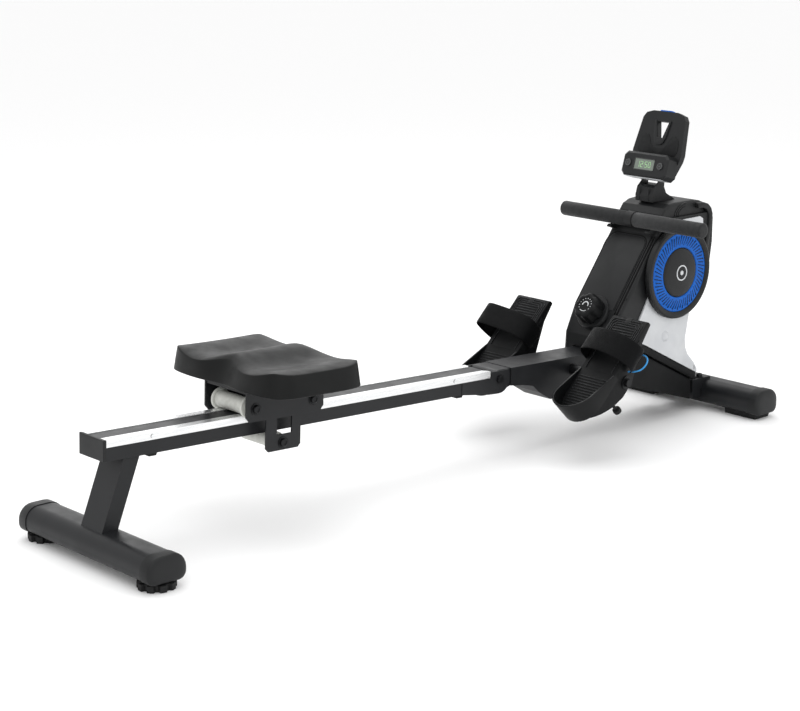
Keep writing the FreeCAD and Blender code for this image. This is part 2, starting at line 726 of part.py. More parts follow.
def make_pedal_axle():
    body = body_at("pedal_axle")
    out = "(Dims.pedal_y + Dims.pedal_half + 0.6)"
    at = ("Dims.pedal_x", "Dims.pedal_z")
    pad(body, circles(body, "XZ_Plane", f"-{out}", [(*at, "Dims.pedal_rod")]), f"{out} * 2")
    for lift in (f"-{out} - 2", out):
        pad(body, circles(body, "XZ_Plane", lift, [(*at, 15)]), "2")
    for lift in (f"-{out} - 10", f"{out} + 2"):
        pad(body, outline(body, "XZ_Plane", lift, arc_points(*at, 10, 0, 300, 6)), "8")
    for lift in ("-Dims.frame_half - 5", "Dims.frame_half"):
        pad(body, circles(body, "XZ_Plane", lift, [(*at, 13)]), "5")


def make_front_tube():
    body = body_at("front_stabilizer")
    pad(body, floor_profile(body, "-Dims.foot_half", "front"), "Dims.foot_half * 2")
    inner = rounded(
        body,
        "XZ_Plane",
        "-Dims.foot_half - 1",
        "Dims.front_back + 2",
        "Dims.front_front - 2",
        "Dims.front_low + 2",
        "Dims.front_high - 2",
        "Dims.foot_r_low - 2",
        "Dims.foot_r_top - 2",
    )
    pocket(body, inner, "Dims.foot_half * 2 + 2")
    # a recess in front for each transport wheel, with its axle
    for side in (-1, 1):
        middle = f"{-side} * Dims.roll_y"
        gap = ((1824, 8), (1860, 8), (1860, 52), (1824, 52))
        pocket(body, outline(body, "XZ_Plane", f"{middle} - 14", gap), "28")
        for offset in (-17, 14):
            cheek = ((1822, 15), (1846, 15), (1855, 20), (1855, 33), (1822, 54))
            pad(body, outline(body, "XZ_Plane", f"{middle} + {offset}", cheek), "3")
        pad(body, circles(body, "XZ_Plane", f"{middle} - 17", [("Dims.roll_x", "Dims.roll_z", 4)]), "34")


def make_transport_wheel(label, side):
    body = body_at(label, "Dims.rail_rear + Dims.roll_x", f"{side} * Dims.roll_y", "Dims.roll_z")
    bore = "4 + Dims.running"
    rim = "Dims.roll_r"
    tread = ((bore, -12), (f"{rim} - 2", -12), (rim, -9), (rim, 9), (f"{rim} - 2", 12), (bore, 12))
    turned(body, "XY_Plane", tread)


def make_front_pad(label, side):
    body = body_at(label)
    near = "118" if side < 0 else "-210"
    top = "Dims.front_low + 3"
    block = ((1786, 0), (1838, 0), (1842, 8), (1842, top), (1784, top), (1784, 8))
    pad(body, outline(body, "XZ_Plane", near, block), "92")
    pocket(body, floor_profile(body, "-Dims.foot_half", "front", "0.02"), "Dims.foot_half * 2")


# ---------------------------------------------------------------- housing
def make_lower_cover():
    body = body_at("lower_cover")
    side = (
        (1408, 207),
        (1520, 207),
        (1704, 113),
        (1704, 40),
        (1492, 107),
        (1408, 111),
    )
    half, wall = "Dims.cover_half", "Dims.shroud_wall"
    pad(body, outline(body, "XZ_Plane", f"-{half}", side), f"{half} * 2")
    soften(body, "Chamfer", 22, lambda e: not along(e, 1) and e.Length > 100 and e.CenterOfMass.z > 150)
    inner = (
        (1400, 203.5),
        (1518, 203.5),
        (1720, 100.5),
        (1720, 40),
        (1705, 43.6),
        (1492, 110.6),
        (1400, 114.6),
    )
    # the hollow follows the slanted shoulders in two steps
    pocket(body, outline(body, "XZ_Plane", f"-{half} + 26", inner), f"({half} - 26) * 2")
    low = (
        (1400, 181),
        (1518, 181),
        (1720, 79),
        (1720, 40),
        (1705, 43.6),
        (1492, 110.6),
        (1400, 114.6),
    )
    pocket(body, outline(body, "XZ_Plane", f"-{half} + {wall}", low), f"({half} - {wall}) * 2")
    mouth = ((1402, -46), (1600, -46), (1600, 46), (1402, 46))
    pocket(body, outline(body, "XY_Plane", "150", mouth), "80")


SHELL = (
    (1396, 176),
    (1400, 236),
    (1430, 300),
    (1555, 467),
    (1573, 504),
    (1754, 504),
    (1761, 490),
    (1761, 430),
    (1754, 380),
    (1722, 312),
    (1674, 262),
    (1662, 205),
    (1662, 146),
    (1530, 213),
    (1492, 213),
    (1480, 176),
)


def make_shroud():
    body = body_at("shroud_shell")
    half, wall = "Dims.shroud_half", "Dims.shroud_wall"
    pad(body, outline(body, "XZ_Plane", f"-{half}", SHELL), f"{half} * 2")

    def rear_edge(e):
        middle = e.CenterOfMass
        on_side = abs(abs(middle.y) - size("shroud_half")) < 0.1
        at_rear = 178 < middle.z < 503 and middle.x < 1403 + 0.9 * (middle.z - 170)
        return on_side and e.Length > 38 and middle.x < 1568 and at_rear

    soften(body, "Fillet", 12, rear_edge)
    inner = (
        (1399.5, 150),
        (1403.5, 235),
        (1433, 298),
        (1558.5, 465),
        (1576, 500.5),
        (1751, 500.5),
        (1757.5, 489),
        (1757.5, 430.5),
        (1750.5, 381.5),
        (1719, 314),
        (1671, 264),
        (1658.5, 205.5),
        (1658.5, 100),
    )
    pocket(body, outline(body, "XZ_Plane", f"-{half} + {wall} + 1", inner), f"({half} - {wall} - 1) * 2")
    side = "(Dims.frame_half + 1.5)"
    beam = ((f"-{side}", 170), (side, 170), (side, 206), (f"-{side}", 206))
    pocket(body, outline(body, "YZ_Plane", "1390", beam), "20")
    slot = ((-15, 494), (15, 494), (15, 505), (-15, 505))
    pocket(body, outline(body, "YZ_Plane", "1550", slot), "40")
    hook = ((1574, 481), (1539, 481), (1534, 478), (1534, 475), (1561, 466), (1574, 466))
    for lift in (-66, 54):
        pad(body, outline(body, "XZ_Plane", str(lift), hook), "12")
    spot = ("Dims.rail_rear + Dims.knob_x", "0", "Dims.knob_z", "-Dims.knob_lean")
    boss = body_at("tension_boss", *spot, keep=False)
    pad(boss, circles(boss, "XY_Plane", "-8", [(0, 0, 40)]), "13")
    well = body_at("tension_well", *spot, keep=False)
    pad(well, circles(well, "XY_Plane", "-30", [(0, 0, "6 + Dims.running")]), "60")
    joined = doc.addObject("Part::Fuse", "shell_and_boss")
    joined.Base = body
    joined.Tool = boss
    doc.recompute()
    kept.remove(body)
    body.Label = "shroud_plain"
    cut_by("shroud_shell", joined, well)


def make_top_cover():
    body = body_at("top_cover")
    profile = (
        (1574, 504.4),
        (1577, 514),
        (1588, 528),
        (1608, 536),
        (1630, "Dims.cover_top"),
        (1696, "Dims.cover_top"),
        (1722, 534),
        (1745, 525),
        (1756, 504.4),
    )
    pad(body, outline(body, "XZ_Plane", "-68", profile), "136")
    soften(body, "Fillet", 8, lambda e: abs(abs(e.CenterOfMass.y) - 68) < 0.1 and e.CenterOfMass.z > 505)
    ceiling = "Dims.cover_top - 4"
    inner = [(1580, 500), (1582, 512), (1592, 524), (1632, ceiling), (1694, ceiling)]
    inner += [(1740, 521), (1748, 500)]
    pocket(body, outline(body, "XZ_Plane", "-62", inner), "124")


PANEL = (
    (1470, 230),
    (1494, 268),
    (1534, 333),
    (1580, 408),
    (1622, 468),
    (1648, 497),
    (1708, 498),
    (1719, 492),
    (1722, 470),
    (1720, 400),
    (1700, 310),
    (1679, 262),
    (1667, 200),
    (1670, 178),
    (1679, 160),
    (1703, 136),
    (1716, 118),
    (1716, 108),
    (1700, 116),
    (1522, 207),
    (1484, 222),
)


def make_panel(label, side):
    body = body_at(label)
    near = "Dims.shroud_half + 0.1"
    lift = near if side < 0 else f"-({near}) - Dims.panel_thick"
    pad(body, outline(body, "XZ_Plane", lift, PANEL), "Dims.panel_thick")
    raised = f"{lift} + Dims.panel_thick" if side < 0 else f"{lift} - 1.5"
    pad(body, circles(body, "XZ_Plane", raised, [(1592, 218, 10)]), "1.5")
    slot = ((1703, 119), (1708, 116), (1708, 126), (1703, 129))
    pocket(body, outline(body, "XZ_Plane", f"{lift} - 1", slot), "Dims.panel_thick + 2")


def make_disc(side, rim, deep):
    """A round side badge: black rim and dome, with a coloured ring let into it. deep scales its depth."""
    name = "right" if side < 0 else "left"
    near = worth("Dims.shroud_half + Dims.panel_thick + 0.2")
    spot = ("Dims.rail_rear + Dims.wheel_x", "0", "Dims.wheel_z")
    trim = body_at("disc_trim_" + name, *spot)
    profile = (
        ("0", 0),
        (f"{rim} - 4", 0),
        (rim, 4),
        (rim, 13),
        (f"{rim} - 4", 17),
        (f"{rim} - 10", 17),
        (f"{rim} - 16.8", 12),
        (f"{rim} - 16.8", 8),
        (f"{rim} - 47.2", 8),
        (f"{rim} - 47.2", 13),
        (f"{rim} - 55", 17),
        (f"{rim} - 77", 19.5),
        ("0", 20.5),
    )
    turned(trim, "XY_Plane", [(a, str(side * (near + deep * b))) for a, b in profile])
    ring = body_at("disc_ring_" + name, *spot)
    band = ((f"{rim} - 47", 8.1), (f"{rim} - 17", 8.1), (f"{rim} - 17", 12.5), (f"{rim} - 47", 14.5))
    turned(ring, "XY_Plane", [(a, str(side * (near + deep * b))) for a, b in band])


def make_console_post():
    body = body_at("console_post")
    profile = (
        (1591, "Dims.cover_top + 0.1"),
        (1590, 552),
        (1596, 572),
        (1610, 584),
        (1614, 610),
        (1634, 610),
        (1632, 572),
        (1640, 556),
        (1672, "Dims.cover_top + 0.1"),
    )
    pad(body, outline(body, "XZ_Plane", "-27", profile), "54")
    gap = ((1560, 578), (1660, 578), (1660, 620), (1560, 620))
    pocket(body, outline(body, "XZ_Plane", "-24", gap), "48")
    hollow = ((1630, "Dims.cover_top + 0.05"), (1628, 560), (1680, 560), (1680, "Dims.cover_top + 0.05"))
    pocket(body, outline(body, "XZ_Plane", "-23", hollow), "46")
    pin = circles(body, "XZ_Plane", "-27", [("Dims.tilt_x", "Dims.tilt_z", 4)])
    pad(body, pin, "54")


def make_belt():
    """A flat belt round the spool pulley and the flywheel pulley."""
    ax, az, bx, bz = size("spool_x"), size("spool_z"), size("wheel_x"), size("wheel_z")
    big, small, thick, wide = 31.0, 18.0, 1.4, 8.0

    def loop(extra):
        ra, rb = big + extra, small + extra
        gap = math.hypot(bx - ax, bz - az)
        way = math.atan2(bz - az, bx - ax)
        turn = math.acos((ra - rb) / gap)

        def spot(x, z, r, a):
            return Vector(x + r * math.cos(a), 0, z + r * math.sin(a))

        up, down = way + turn, way - turn
        a1, a2 = spot(ax, az, ra, up), spot(ax, az, ra, down)
        b1, b2 = spot(bx, bz, rb, up), spot(bx, bz, rb, down)
        edges = [
            Part.Arc(a1, spot(ax, az, ra, way + math.pi), a2).toShape(),
            Part.LineSegment(a2, b2).toShape(),
            Part.Arc(b2, spot(bx, bz, rb, way), b1).toShape(),
            Part.LineSegment(b1, a1).toShape(),
        ]
        return Part.Face(Part.Wire(Part.__sortEdges__(edges)))

    band = loop(0.3 + thick).cut(loop(0.3)).extrude(Vector(0, wide, 0))
    belt = doc.addObject("Part::Feature", "drive_belt")
    belt.Label = "drive_belt"
    belt.Shape = band
    belt.Placement = Placement(Vector(size("rail_rear"), 14, 0), Rotation())
    kept.append(belt)


# ---------------------------------------------------------------- mechanism
def make_flywheel():
    body = body_at("flywheel", "Dims.rail_rear + Dims.wheel_x", "0", "Dims.wheel_z")
    half = "Dims.wheel_half"
    profile = (
        ("10 + Dims.running", f"-{half} - 4"),
        ("22", f"-{half} - 4"),
        ("22", "-4"),
        ("Dims.wheel_r - 18", "-4"),
        ("Dims.wheel_r - 18", f"-{half}"),
        ("Dims.wheel_r", f"-{half}"),
        ("Dims.wheel_r", half),
        ("Dims.wheel_r - 18", half),
        ("Dims.wheel_r - 18", "4"),
        ("18", "4"),
        ("18", "24"),
        ("10 + Dims.running", "24"),
    )
    turned(body, "XY_Plane", profile)


def make_spool():
    body = body_at("strap_spool", "Dims.rail_rear + Dims.spool_x", "0", "Dims.spool_z")
    profile = (
        ("8 + Dims.running", -16),
        ("38", -16),
        ("38", -13),
        ("30", -13),
        ("30", 10),
        ("38", 10),
        ("38", 13),
        ("31", 13),
        ("31", 24),
        ("8 + Dims.running", 24),
    )
    turned(body, "XY_Plane", profile)


def make_magnets():
    """A steel shoe that swings towards the flywheel's rim and carries the brake magnets."""
    body = body_at("magnet_bracket", "Dims.rail_rear + Dims.wheel_x", "0", "Dims.wheel_z")
    gap = worth("Dims.wheel_r + 4")
    shoe = arc_points(0, 0, gap, 100, 150, 9) + arc_points(0, 0, gap + 9, 150, 100, 9)
    pad(body, outline(body, "XZ_Plane", "-13", shoe), "26")
    ear = ((-24, 88), (-24, 104), (-10, 112), (2, 104), (2, 90))
    pad(body, outline(body, "XZ_Plane", "-13", ear), "26")
    bore = ("Dims.magnet_x - Dims.wheel_x", "Dims.magnet_z - Dims.wheel_z", "4 + Dims.running")
    pocket(body, circles(body, "XZ_Plane", "-20", [bore]), "40")


def make_knob():
    body = body_at("tension_knob", "Dims.rail_rear + Dims.knob_x", "0", "Dims.knob_z", "-Dims.knob_lean")
    pad(body, circles(body, "XY_Plane", "5.5", [(0, 0, "Dims.knob_r")]), "34")
    notch = pocket(body, circles(body, "XY_Plane", "16", [("Dims.knob_r + 5", 0, 10)]), "40")
    repeat_round(body, notch, 7)
    soften(body, "Fillet", 2.5, lambda e: e.BoundBox.ZMin > 39)
    pad(body, circles(body, "XY_Plane", "-20", [(0, 0, 6)]), "26")


def make_handle():
    grip = body_at("handle_grip", "Dims.rail_rear + Dims.bar_x", "0", "Dims.bar_z")
    half = "Dims.bar_half"
    pad(grip, circles(grip, "XZ_Plane", f"-{half}", [(0, 0, "Dims.bar_r")]), f"{half} * 2")
    soften(grip, "Fillet", 6, lambda e: abs(abs(e.CenterOfMass.y) - size("bar_half")) < 0.1)
    clip = body_at("handle_clip", "Dims.rail_rear + Dims.bar_x", "0", "Dims.bar_z")
    pad(clip, circles(clip, "XZ_Plane", "-12", [(0, 0, "Dims.bar_r + 1.6")]), "24")
    pocket(clip, circles(clip, "XZ_Plane", "-20", [(0, 0, "Dims.bar_r + 0.02")]), "40")
    strap = body_at("pull_strap", "Dims.rail_rear + Dims.bar_x", "0", "Dims.bar_z")
    start = "Dims.bar_r + 1.7"
    ends = ((start, -11), (38, -11), (38, 11), (start, 11))
    pad(strap, outline(strap, "XY_Plane", "-1.25", ends), "2.5")


# ---------------------------------------------------------------- pedals
LOOP_ROUTE = ((-25, 0.05), (-24, 18), (-11, 32), (11, 32), (24, 18), (25, 0.05))


def make_pedal(side):
    name = "right" if side < 0 else "left"
    seat = ("Dims.rail_rear + Dims.pedal_x", f"{side} * Dims.pedal_y", "Dims.pedal_z", "-Dims.pedal_lean")
    body = body_at("pedal_" + name, *seat)
    half, face = "Dims.pedal_half", "Dims.foot_face"
    profile = (
        (138, face),
        (144, "Dims.foot_face - 6"),
        (144, "Dims.foot_face - 15"),
        (96, 20),
        (48, -2),
        (16, -17),
        (-30, -18),
        (-70, -4),
        (-120, 14),
        (-141, 34),
        (-141, face),
    )
    pad(body, outline(body, "XZ_Plane", f"-{half}", profile), f"{half} * 2")
    heel = [(-20, f"-{half}"), (-20, f"-{half} + 4.5"), (-90, f"-{half} + 4.5"), (-117, -34)]
    heel += [(-135, -16), (-136, 0), (-135, 16), (-117, 34)]
    heel += [(-90, f"{half} - 4.5"), (-20, f"{half} - 4.5"), (-20, half)]
    heel += [(-92, half), (-121, 38), (-140, 18), (-141, 0), (-140, -18), (-121, -38), (-92, f"-{half}")]
    pad(body, outline(body, "XY_Plane", "Dims.foot_face - 1", heel), "44")
    above = [(-10, "Dims.foot_face + 3"), (-122, "Dims.foot_face + 42")]
    above += [(-150, "Dims.foot_face + 42"), (-150, 110), (-10, 110)]
    pocket(body, outline(body, "XZ_Plane", "-60", above), "120")
    for flip in (-1, 1):
        corner = [(-92, f"{flip} * ({half})"), (-121, flip * 38), (-140, flip * 18), (-141.2, flip * 10)]
        corner += [(-150, flip * 10), (-150, flip * 60), (-92, flip * 60)]
        pocket(body, outline(body, "XY_Plane", "-30", corner), "140")
    bore = circles(body, "XZ_Plane", "-60", [(0, 0, "Dims.pedal_rod + Dims.running")])
    pocket(body, bore, "120")
    # the moulding is hollow underneath, either side of the axle boss
    for ends in ((22, 92, 104, 30), (-24, -60, -92, -26)):
        near, low, high, top = ends
        past = high + (8 if high > 0 else -8)
        hollow = ((near, -30), (near, "Dims.foot_face - 6"), (high, "Dims.foot_face - 6"), (past, -30))
        pocket(body, outline(body, "XZ_Plane", f"-{half} + 5", hollow), f"({half} - 5) * 2")
    # a bolt under the heel with a round rubber head
    pad(body, circles(body, "XY_Plane", "-79", [(-36, 0, 4)]), "Dims.foot_face + 76")
    pad(body, circles(body, "XY_Plane", "-88", [(-36, 0, 10)]), "14")

    strap = body_at("pedal_strap_" + name, *seat)
    thick = "Dims.strap_thick"
    low, edge = "8", f"({half} + 0.3)"
    inside = ((0, low), (0, 66), (5, 84), (16, 96), (35, 101), (53, 102))
    outside = ((53, 105.5), (34, 104.5), (14, 99.5), (2, 87), (f"-{thick}", 67), (f"-{thick}", low))
    arch = [(f"{in_by} - {edge}", up) for in_by, up in inside]
    arch += [(f"{edge} - ({in_by})", up) for in_by, up in reversed(inside[:-1])]
    arch += [(f"{edge} - ({in_by})", up) for in_by, up in reversed(outside)]
    arch += [(f"({in_by}) - {edge}", up) for in_by, up in outside[1:]]
    pad(strap, outline(strap, "YZ_Plane", "Dims.strap_from", arch), "Dims.strap_wide")

    # pull cord, a loop across the strap's outer end
    middle = worth("Dims.strap_from + Dims.strap_wide / 2")
    base = worth("Dims.pedal_half + 0.3 + Dims.strap_thick")
    route = [(middle + x, side * (base + y), 16) for x, y in LOOP_ROUTE]
    cord("strap_loop_" + name, route, size("loop_r"), body.Placement)


# ---------------------------------------------------------------- console
def make_console():
    seat = ("Dims.rail_rear + Dims.tilt_x", "0", "Dims.tilt_z", "Dims.tilt_lean")
    body = body_at("console_housing", *seat)
    shield = (
        (-50, -4),
        (50, -4),
        (62, 8),
        (74, 40),
        (76, 56),
        (66, 138),
        (58, 150),
        (38, 156),
        (-38, 156),
        (-58, 150),
        (-66, 138),
        (-76, 56),
        (-74, 40),
        (-62, 8),
    )
    pad(body, outline(body, "YZ_Plane", "-6", shield), "15")
    box = ((-60, -12), (60, -12), (70, -2), (70, 38), (60, 48), (-60, 48), (-70, 38), (-70, -2))
    pad(body, outline(body, "YZ_Plane", "-42", box), "40")
    soften(body, "Chamfer", 5, lambda e: e.BoundBox.XMax < -41.9)
    yoke = ((-23.6, -9), (23.6, -9), (23.6, 24), (-23.6, 24))
    pad(body, outline(body, "YZ_Plane", "-8", yoke), "18")
    # room for the post's fork, then the pivot's bore
    for flip in (-1, 1):
        ears = ((flip * 23.6, -20), (flip * 32, -20), (flip * 32, 17), (flip * 23.6, 17))
        pocket(body, outline(body, "YZ_Plane", "-16", ears), "40")
    pocket(body, circles(body, "XZ_Plane", "-40", [(0, 0, "4 + Dims.running")]), "80")
    gripping = ((-8, 92), (8, 92), (19, 131), (-19, 131))
    pocket(body, outline(body, "YZ_Plane", "-20", gripping), "40")
    recess = ((-30, 6), (30, 6), (30, 32), (-30, 32))
    pocket(body, outline(body, "YZ_Plane", "-45", recess), "5")
    for flip in (-1, 1):
        pocket(body, circles(body, "YZ_Plane", "-45", [(flip * 49.5, 19, 9.4)]), "8")
    notch = ((-21, 150), (21, 150), (21, 160), (-21, 160))
    pocket(body, outline(body, "YZ_Plane", "-4", notch), "11")

    screen = body_at("console_screen", *seat)
    glass = ((-29.8, 6.2), (29.8, 6.2), (29.8, 31.8), (-29.8, 31.8))
    pad(screen, outline(screen, "YZ_Plane", "-41.5", glass), "1.4")

    grip = body_at("console_insert", *seat)
    top = ((-20.8, 150.1), (20.8, 150.1), (20.8, 156), (17, 159), (-17, 159), (-20.8, 156))
    pad(grip, outline(grip, "YZ_Plane", "-3.9", top), "10.8")

    for flip, name in ((-1, "right"), (1, "left")):
        button = body_at("button_" + name, *seat)
        pad(button, circles(button, "YZ_Plane", "-44.5", [(flip * 49.5, 19, 9)]), "5")
        soften(button, "Fillet", 1, lambda e: e.BoundBox.XMax < -44)


CABLE_ROUTE = ((1635.9, -48, 611.6), (1652, -48, 606.7), (1653, -34, 584), (1633.9, -25.5, 588))


def make_cable():
    """The console's lead, from the back of the console to the post's fork."""
    start = Placement(Vector(size("rail_rear"), 0, 0), Rotation())
    cord("console_cable", CABLE_ROUTE, size("cable_r"), start)


make_rail()
make_strip("rail_strip_right", -1)
make_strip("rail_strip_left", 1)
make_end_cap()
make_stop("rail_stop_rear", 112)
make_stop("rail_stop_front", 944)
make_rear_tube()
make_cap("rear_cap_right", "rear", -1)
make_cap("rear_cap_left", "rear", 1)
make_rear_post()
make_level_foot("level_foot_right", -1)
make_level_foot("level_foot_left", 1)
make_plate("carriage_plate_right", -1)
make_plate("carriage_plate_left", 1)
make_seat_base()
make_axles()
make_roller("roller_rear", *AXLES[0], True)
make_roller("roller_front", *AXLES[1], True)
make_roller("roller_lower", *AXLES[2], False)
make_seat()
make_main_frame()
make_fold_bolt()
make_pedal_axle()
make_front_tube()
make_cap("front_cap_right", "front", -1)
make_cap("front_cap_left", "front", 1)
make_transport_wheel("transport_wheel_right", -1)
make_transport_wheel("transport_wheel_left", 1)
make_front_pad("front_pad_right", -1)
make_front_pad("front_pad_left", 1)
make_lower_cover()
make_shroud()
make_top_cover()
make_panel("side_panel_right", -1)
make_panel("side_panel_left", 1)
make_disc(-1, "Dims.disc_r", 1)
make_disc(1, "Dims.disc_small", 0.4)
make_console_post()
make_belt()
make_flywheel()
make_spool()
make_magnets()
make_knob()
make_handle()
make_pedal(-1)
make_pedal(1)
make_console()
make_cable()

doc.recompute()
for thing in doc.Objects:
    if "Invalid" in thing.State or "Error" in thing.State:
        raise RuntimeError(f"{thing.Name} failed: {thing.State}")
os.makedirs("parts", exist_ok=True)
low, high = Vector(1e9, 1e9, 1e9), Vector(-1e9, -1e9, -1e9)
for thing in kept:
    shape = thing.Shape
    if shape.isNull() or not shape.isValid():
        raise RuntimeError(f"{thing.Label} has no sound shape")
    box = shape.BoundBox
    low = Vector(min(low.x, box.XMin), min(low.y, box.YMin), min(low.z, box.ZMin))
    high = Vector(max(high.x, box.XMax), max(high.y, box.YMax), max(high.z, box.ZMax))
    shape.exportStep(f"parts/{thing.Label}.step")
print(len(kept), "pieces", low, high)
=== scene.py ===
import bmesh
import bpy
import json
import math
from mathutils import Matrix, Vector


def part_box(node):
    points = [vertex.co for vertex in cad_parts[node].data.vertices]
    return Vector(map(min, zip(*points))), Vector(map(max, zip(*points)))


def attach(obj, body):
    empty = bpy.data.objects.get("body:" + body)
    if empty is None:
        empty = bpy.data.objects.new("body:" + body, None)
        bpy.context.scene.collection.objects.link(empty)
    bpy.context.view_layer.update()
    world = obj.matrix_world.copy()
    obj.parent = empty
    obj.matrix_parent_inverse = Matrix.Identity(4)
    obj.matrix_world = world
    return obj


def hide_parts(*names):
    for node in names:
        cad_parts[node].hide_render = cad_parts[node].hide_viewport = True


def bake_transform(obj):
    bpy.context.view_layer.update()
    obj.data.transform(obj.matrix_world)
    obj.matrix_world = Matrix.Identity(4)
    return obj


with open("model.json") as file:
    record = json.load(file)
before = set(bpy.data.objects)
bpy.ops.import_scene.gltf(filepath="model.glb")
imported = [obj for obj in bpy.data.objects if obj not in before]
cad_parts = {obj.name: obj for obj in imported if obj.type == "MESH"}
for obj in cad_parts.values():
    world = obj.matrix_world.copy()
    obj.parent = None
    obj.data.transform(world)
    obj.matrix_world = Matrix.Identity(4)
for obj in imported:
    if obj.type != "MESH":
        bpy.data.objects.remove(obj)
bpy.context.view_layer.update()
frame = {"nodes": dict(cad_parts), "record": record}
nodes = frame["nodes"]


# where things are: millimetres in a part's own frame, turned into the frame's metres
def middleOf(node):
    low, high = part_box(node)
    return (Vector(low) + Vector(high)) / 2


axleSpot = middleOf("pedal_axle")
railRear = axleSpot.x - 1.307
machine = {"railTop": 0.2557, "railLean": 2.136, "pedalLean": -45, "consoleLean": 17, "knobLean": -53.13}


def local(x, y, z, lean=0):  # x, y, z in mm from the rail's rear face, lean in degrees about Y
    spot = Matrix.Translation((railRear + x / 1000, y / 1000, z / 1000))
    return spot @ Matrix.Rotation(math.radians(lean), 4, "Y") @ Matrix.Scale(0.001, 4)


upright = local(0, 0, 0)
alongRail = local(0, 0, machine["railTop"] * 1000, machine["railLean"])
atWheel = local(1622, 0, 373)
atConsole = local(1622, 0, 597, machine["consoleLean"])
atKnob = local(1421, 0, 290, machine["knobLean"])


# making materials
def linear(hexColour):
    parts = [int(hexColour[i:i + 2], 16) / 255 for i in (1, 3, 5)]
    return tuple(c / 12.92 if c <= 0.04045 else ((c + 0.055) / 1.055) ** 2.4 for c in parts) + (1,)


def addNode(tree, kind, settings=None, inputs=None):
    made = tree.nodes.new(kind)
    for name, value in (settings or {}).items():
        setattr(made, name, value)
    for name, value in (inputs or {}).items():
        if isinstance(value, bpy.types.NodeSocket):
            tree.links.new(value, made.inputs[name])
        else:
            made.inputs[name].default_value = value
    return made


def newFinish(name, look):
    made = bpy.data.materials.new(name)
    made.use_nodes = True
    tree = made.node_tree
    shader = tree.nodes["Principled BSDF"]
    shader.inputs["Metallic"].default_value = look.get("metallic", 0)
    shader.inputs["Coat Weight"].default_value = look.get("coat", 0)
    shader.inputs["Coat Roughness"].default_value = look.get("coatRoughness", 0.1)
    shader.inputs["Sheen Weight"].default_value = look.get("sheen", 0)
    shader.inputs["Specular IOR Level"].default_value = look.get("specular", 0.5)
    return made, tree, shader


def mixed(tree, amount, first, second):  # the colour socket of a mix of two colours
    made = addNode(tree, "ShaderNodeMix", {"data_type": "RGBA"}, {0: amount, 6: first, 7: second})
    return made.outputs[2]


def noise(tree, vector, size, detail):  # size of the blotches in mm
    made = addNode(tree, "ShaderNodeTexNoise", {}, {"Vector": vector, "Scale": 1000 / size, "Detail": detail})
    return made.outputs[0]


def raisedBy(tree, shader, height, look, strength, **settings):
    inputs = {"Height": height, "Distance": look["depth"] / 1000, "Strength": strength}
    bump = addNode(tree, "ShaderNodeBump", settings, inputs)
    tree.links.new(bump.outputs[0], shader.inputs["Normal"])


def tintAndShine(tree, shader, look, vector):
    # patches of a second tone, and a roughness that drifts, at real sizes in mm
    patches = noise(tree, vector, look["patch"], 4.0)
    spread = addNode(tree, "ShaderNodeMapRange", {}, {0: patches, 1: 0.35, 2: 0.65})
    tone = mixed(tree, spread.outputs[0], linear(look["colour"]), linear(look["second"]))
    smears = noise(tree, vector, look["smear"], 3.0)
    low, high = look["roughness"]
    shine = addNode(tree, "ShaderNodeMapRange", {}, {0: smears, 1: 0.3, 2: 0.7, 3: low, 4: high})
    tree.links.new(shine.outputs[0], shader.inputs["Roughness"])
    return tone


def paintedEdgeShading(tree, tone, look):
    # a narrow line of another tone painted where two faces meet; paler, it is a painted edge highlight
    normal = addNode(tree, "ShaderNodeNewGeometry").outputs["Normal"]
    soft = addNode(tree, "ShaderNodeBevel", {"samples": 4}, {"Radius": look["edge"] / 1000})
    turn = addNode(tree, "ShaderNodeVectorMath", {"operation": "DOT_PRODUCT"}, {0: normal, 1: soft.outputs[0]})
    limits = {0: turn.outputs[1], 1: 0.99, 2: 0.8, 3: 0.0, 4: look["edgePaintAmount"]}
    edgePaint = addNode(tree, "ShaderNodeMapRange", {}, limits)
    return mixed(tree, edgePaint.outputs[0], tone, linear(look["edgePaint"]))


def grained(name, look):  # moulded, painted or cast: tone patches, drifting shine and a fine raised grain
    made, tree, shader = newFinish(name, look)
    spot = addNode(tree, "ShaderNodeTexCoord").outputs["Object"]
    stretch = look.get("stretch", (1, 1, 1))
    vector = addNode(tree, "ShaderNodeMapping", {}, {"Vector": spot, "Scale": stretch}).outputs[0]
    tone = tintAndShine(tree, shader, look, vector)
    if "edgePaint" in look:
        tone = paintedEdgeShading(tree, tone, look)
    tree.links.new(tone, shader.inputs["Base Color"])
    raisedBy(tree, shader, noise(tree, vector, look["grain"], 2.0), look, look["raise"])
    return made


def pebbled(name, look):  # leather-like skin: cells with soft valleys between them
    made, tree, shader = newFinish(name, look)
    vector = addNode(tree, "ShaderNodeTexCoord").outputs["Object"]
    tree.links.new(tintAndShine(tree, shader, look, vector), shader.inputs["Base Color"])
    wander = addNode(tree, "ShaderNodeTexNoise", {}, {"Vector": vector, "Scale": 500 / look["grain"]})
    drift = {0: wander.outputs[1], 1: (0.0006, 0.0006, 0.0006), 2: vector}  # cells wander by 0.6 mm
    moved = addNode(tree, "ShaderNodeVectorMath", {"operation": "MULTIPLY_ADD"}, drift).outputs[0]
    sizes = {"Vector": moved, "Scale": 1000 / look["grain"]}
    cells = addNode(tree, "ShaderNodeTexVoronoi", {"feature": "SMOOTH_F1"}, sizes)
    raisedBy(tree, shader, cells.outputs[0], look, look["raise"], invert=True)
    return made


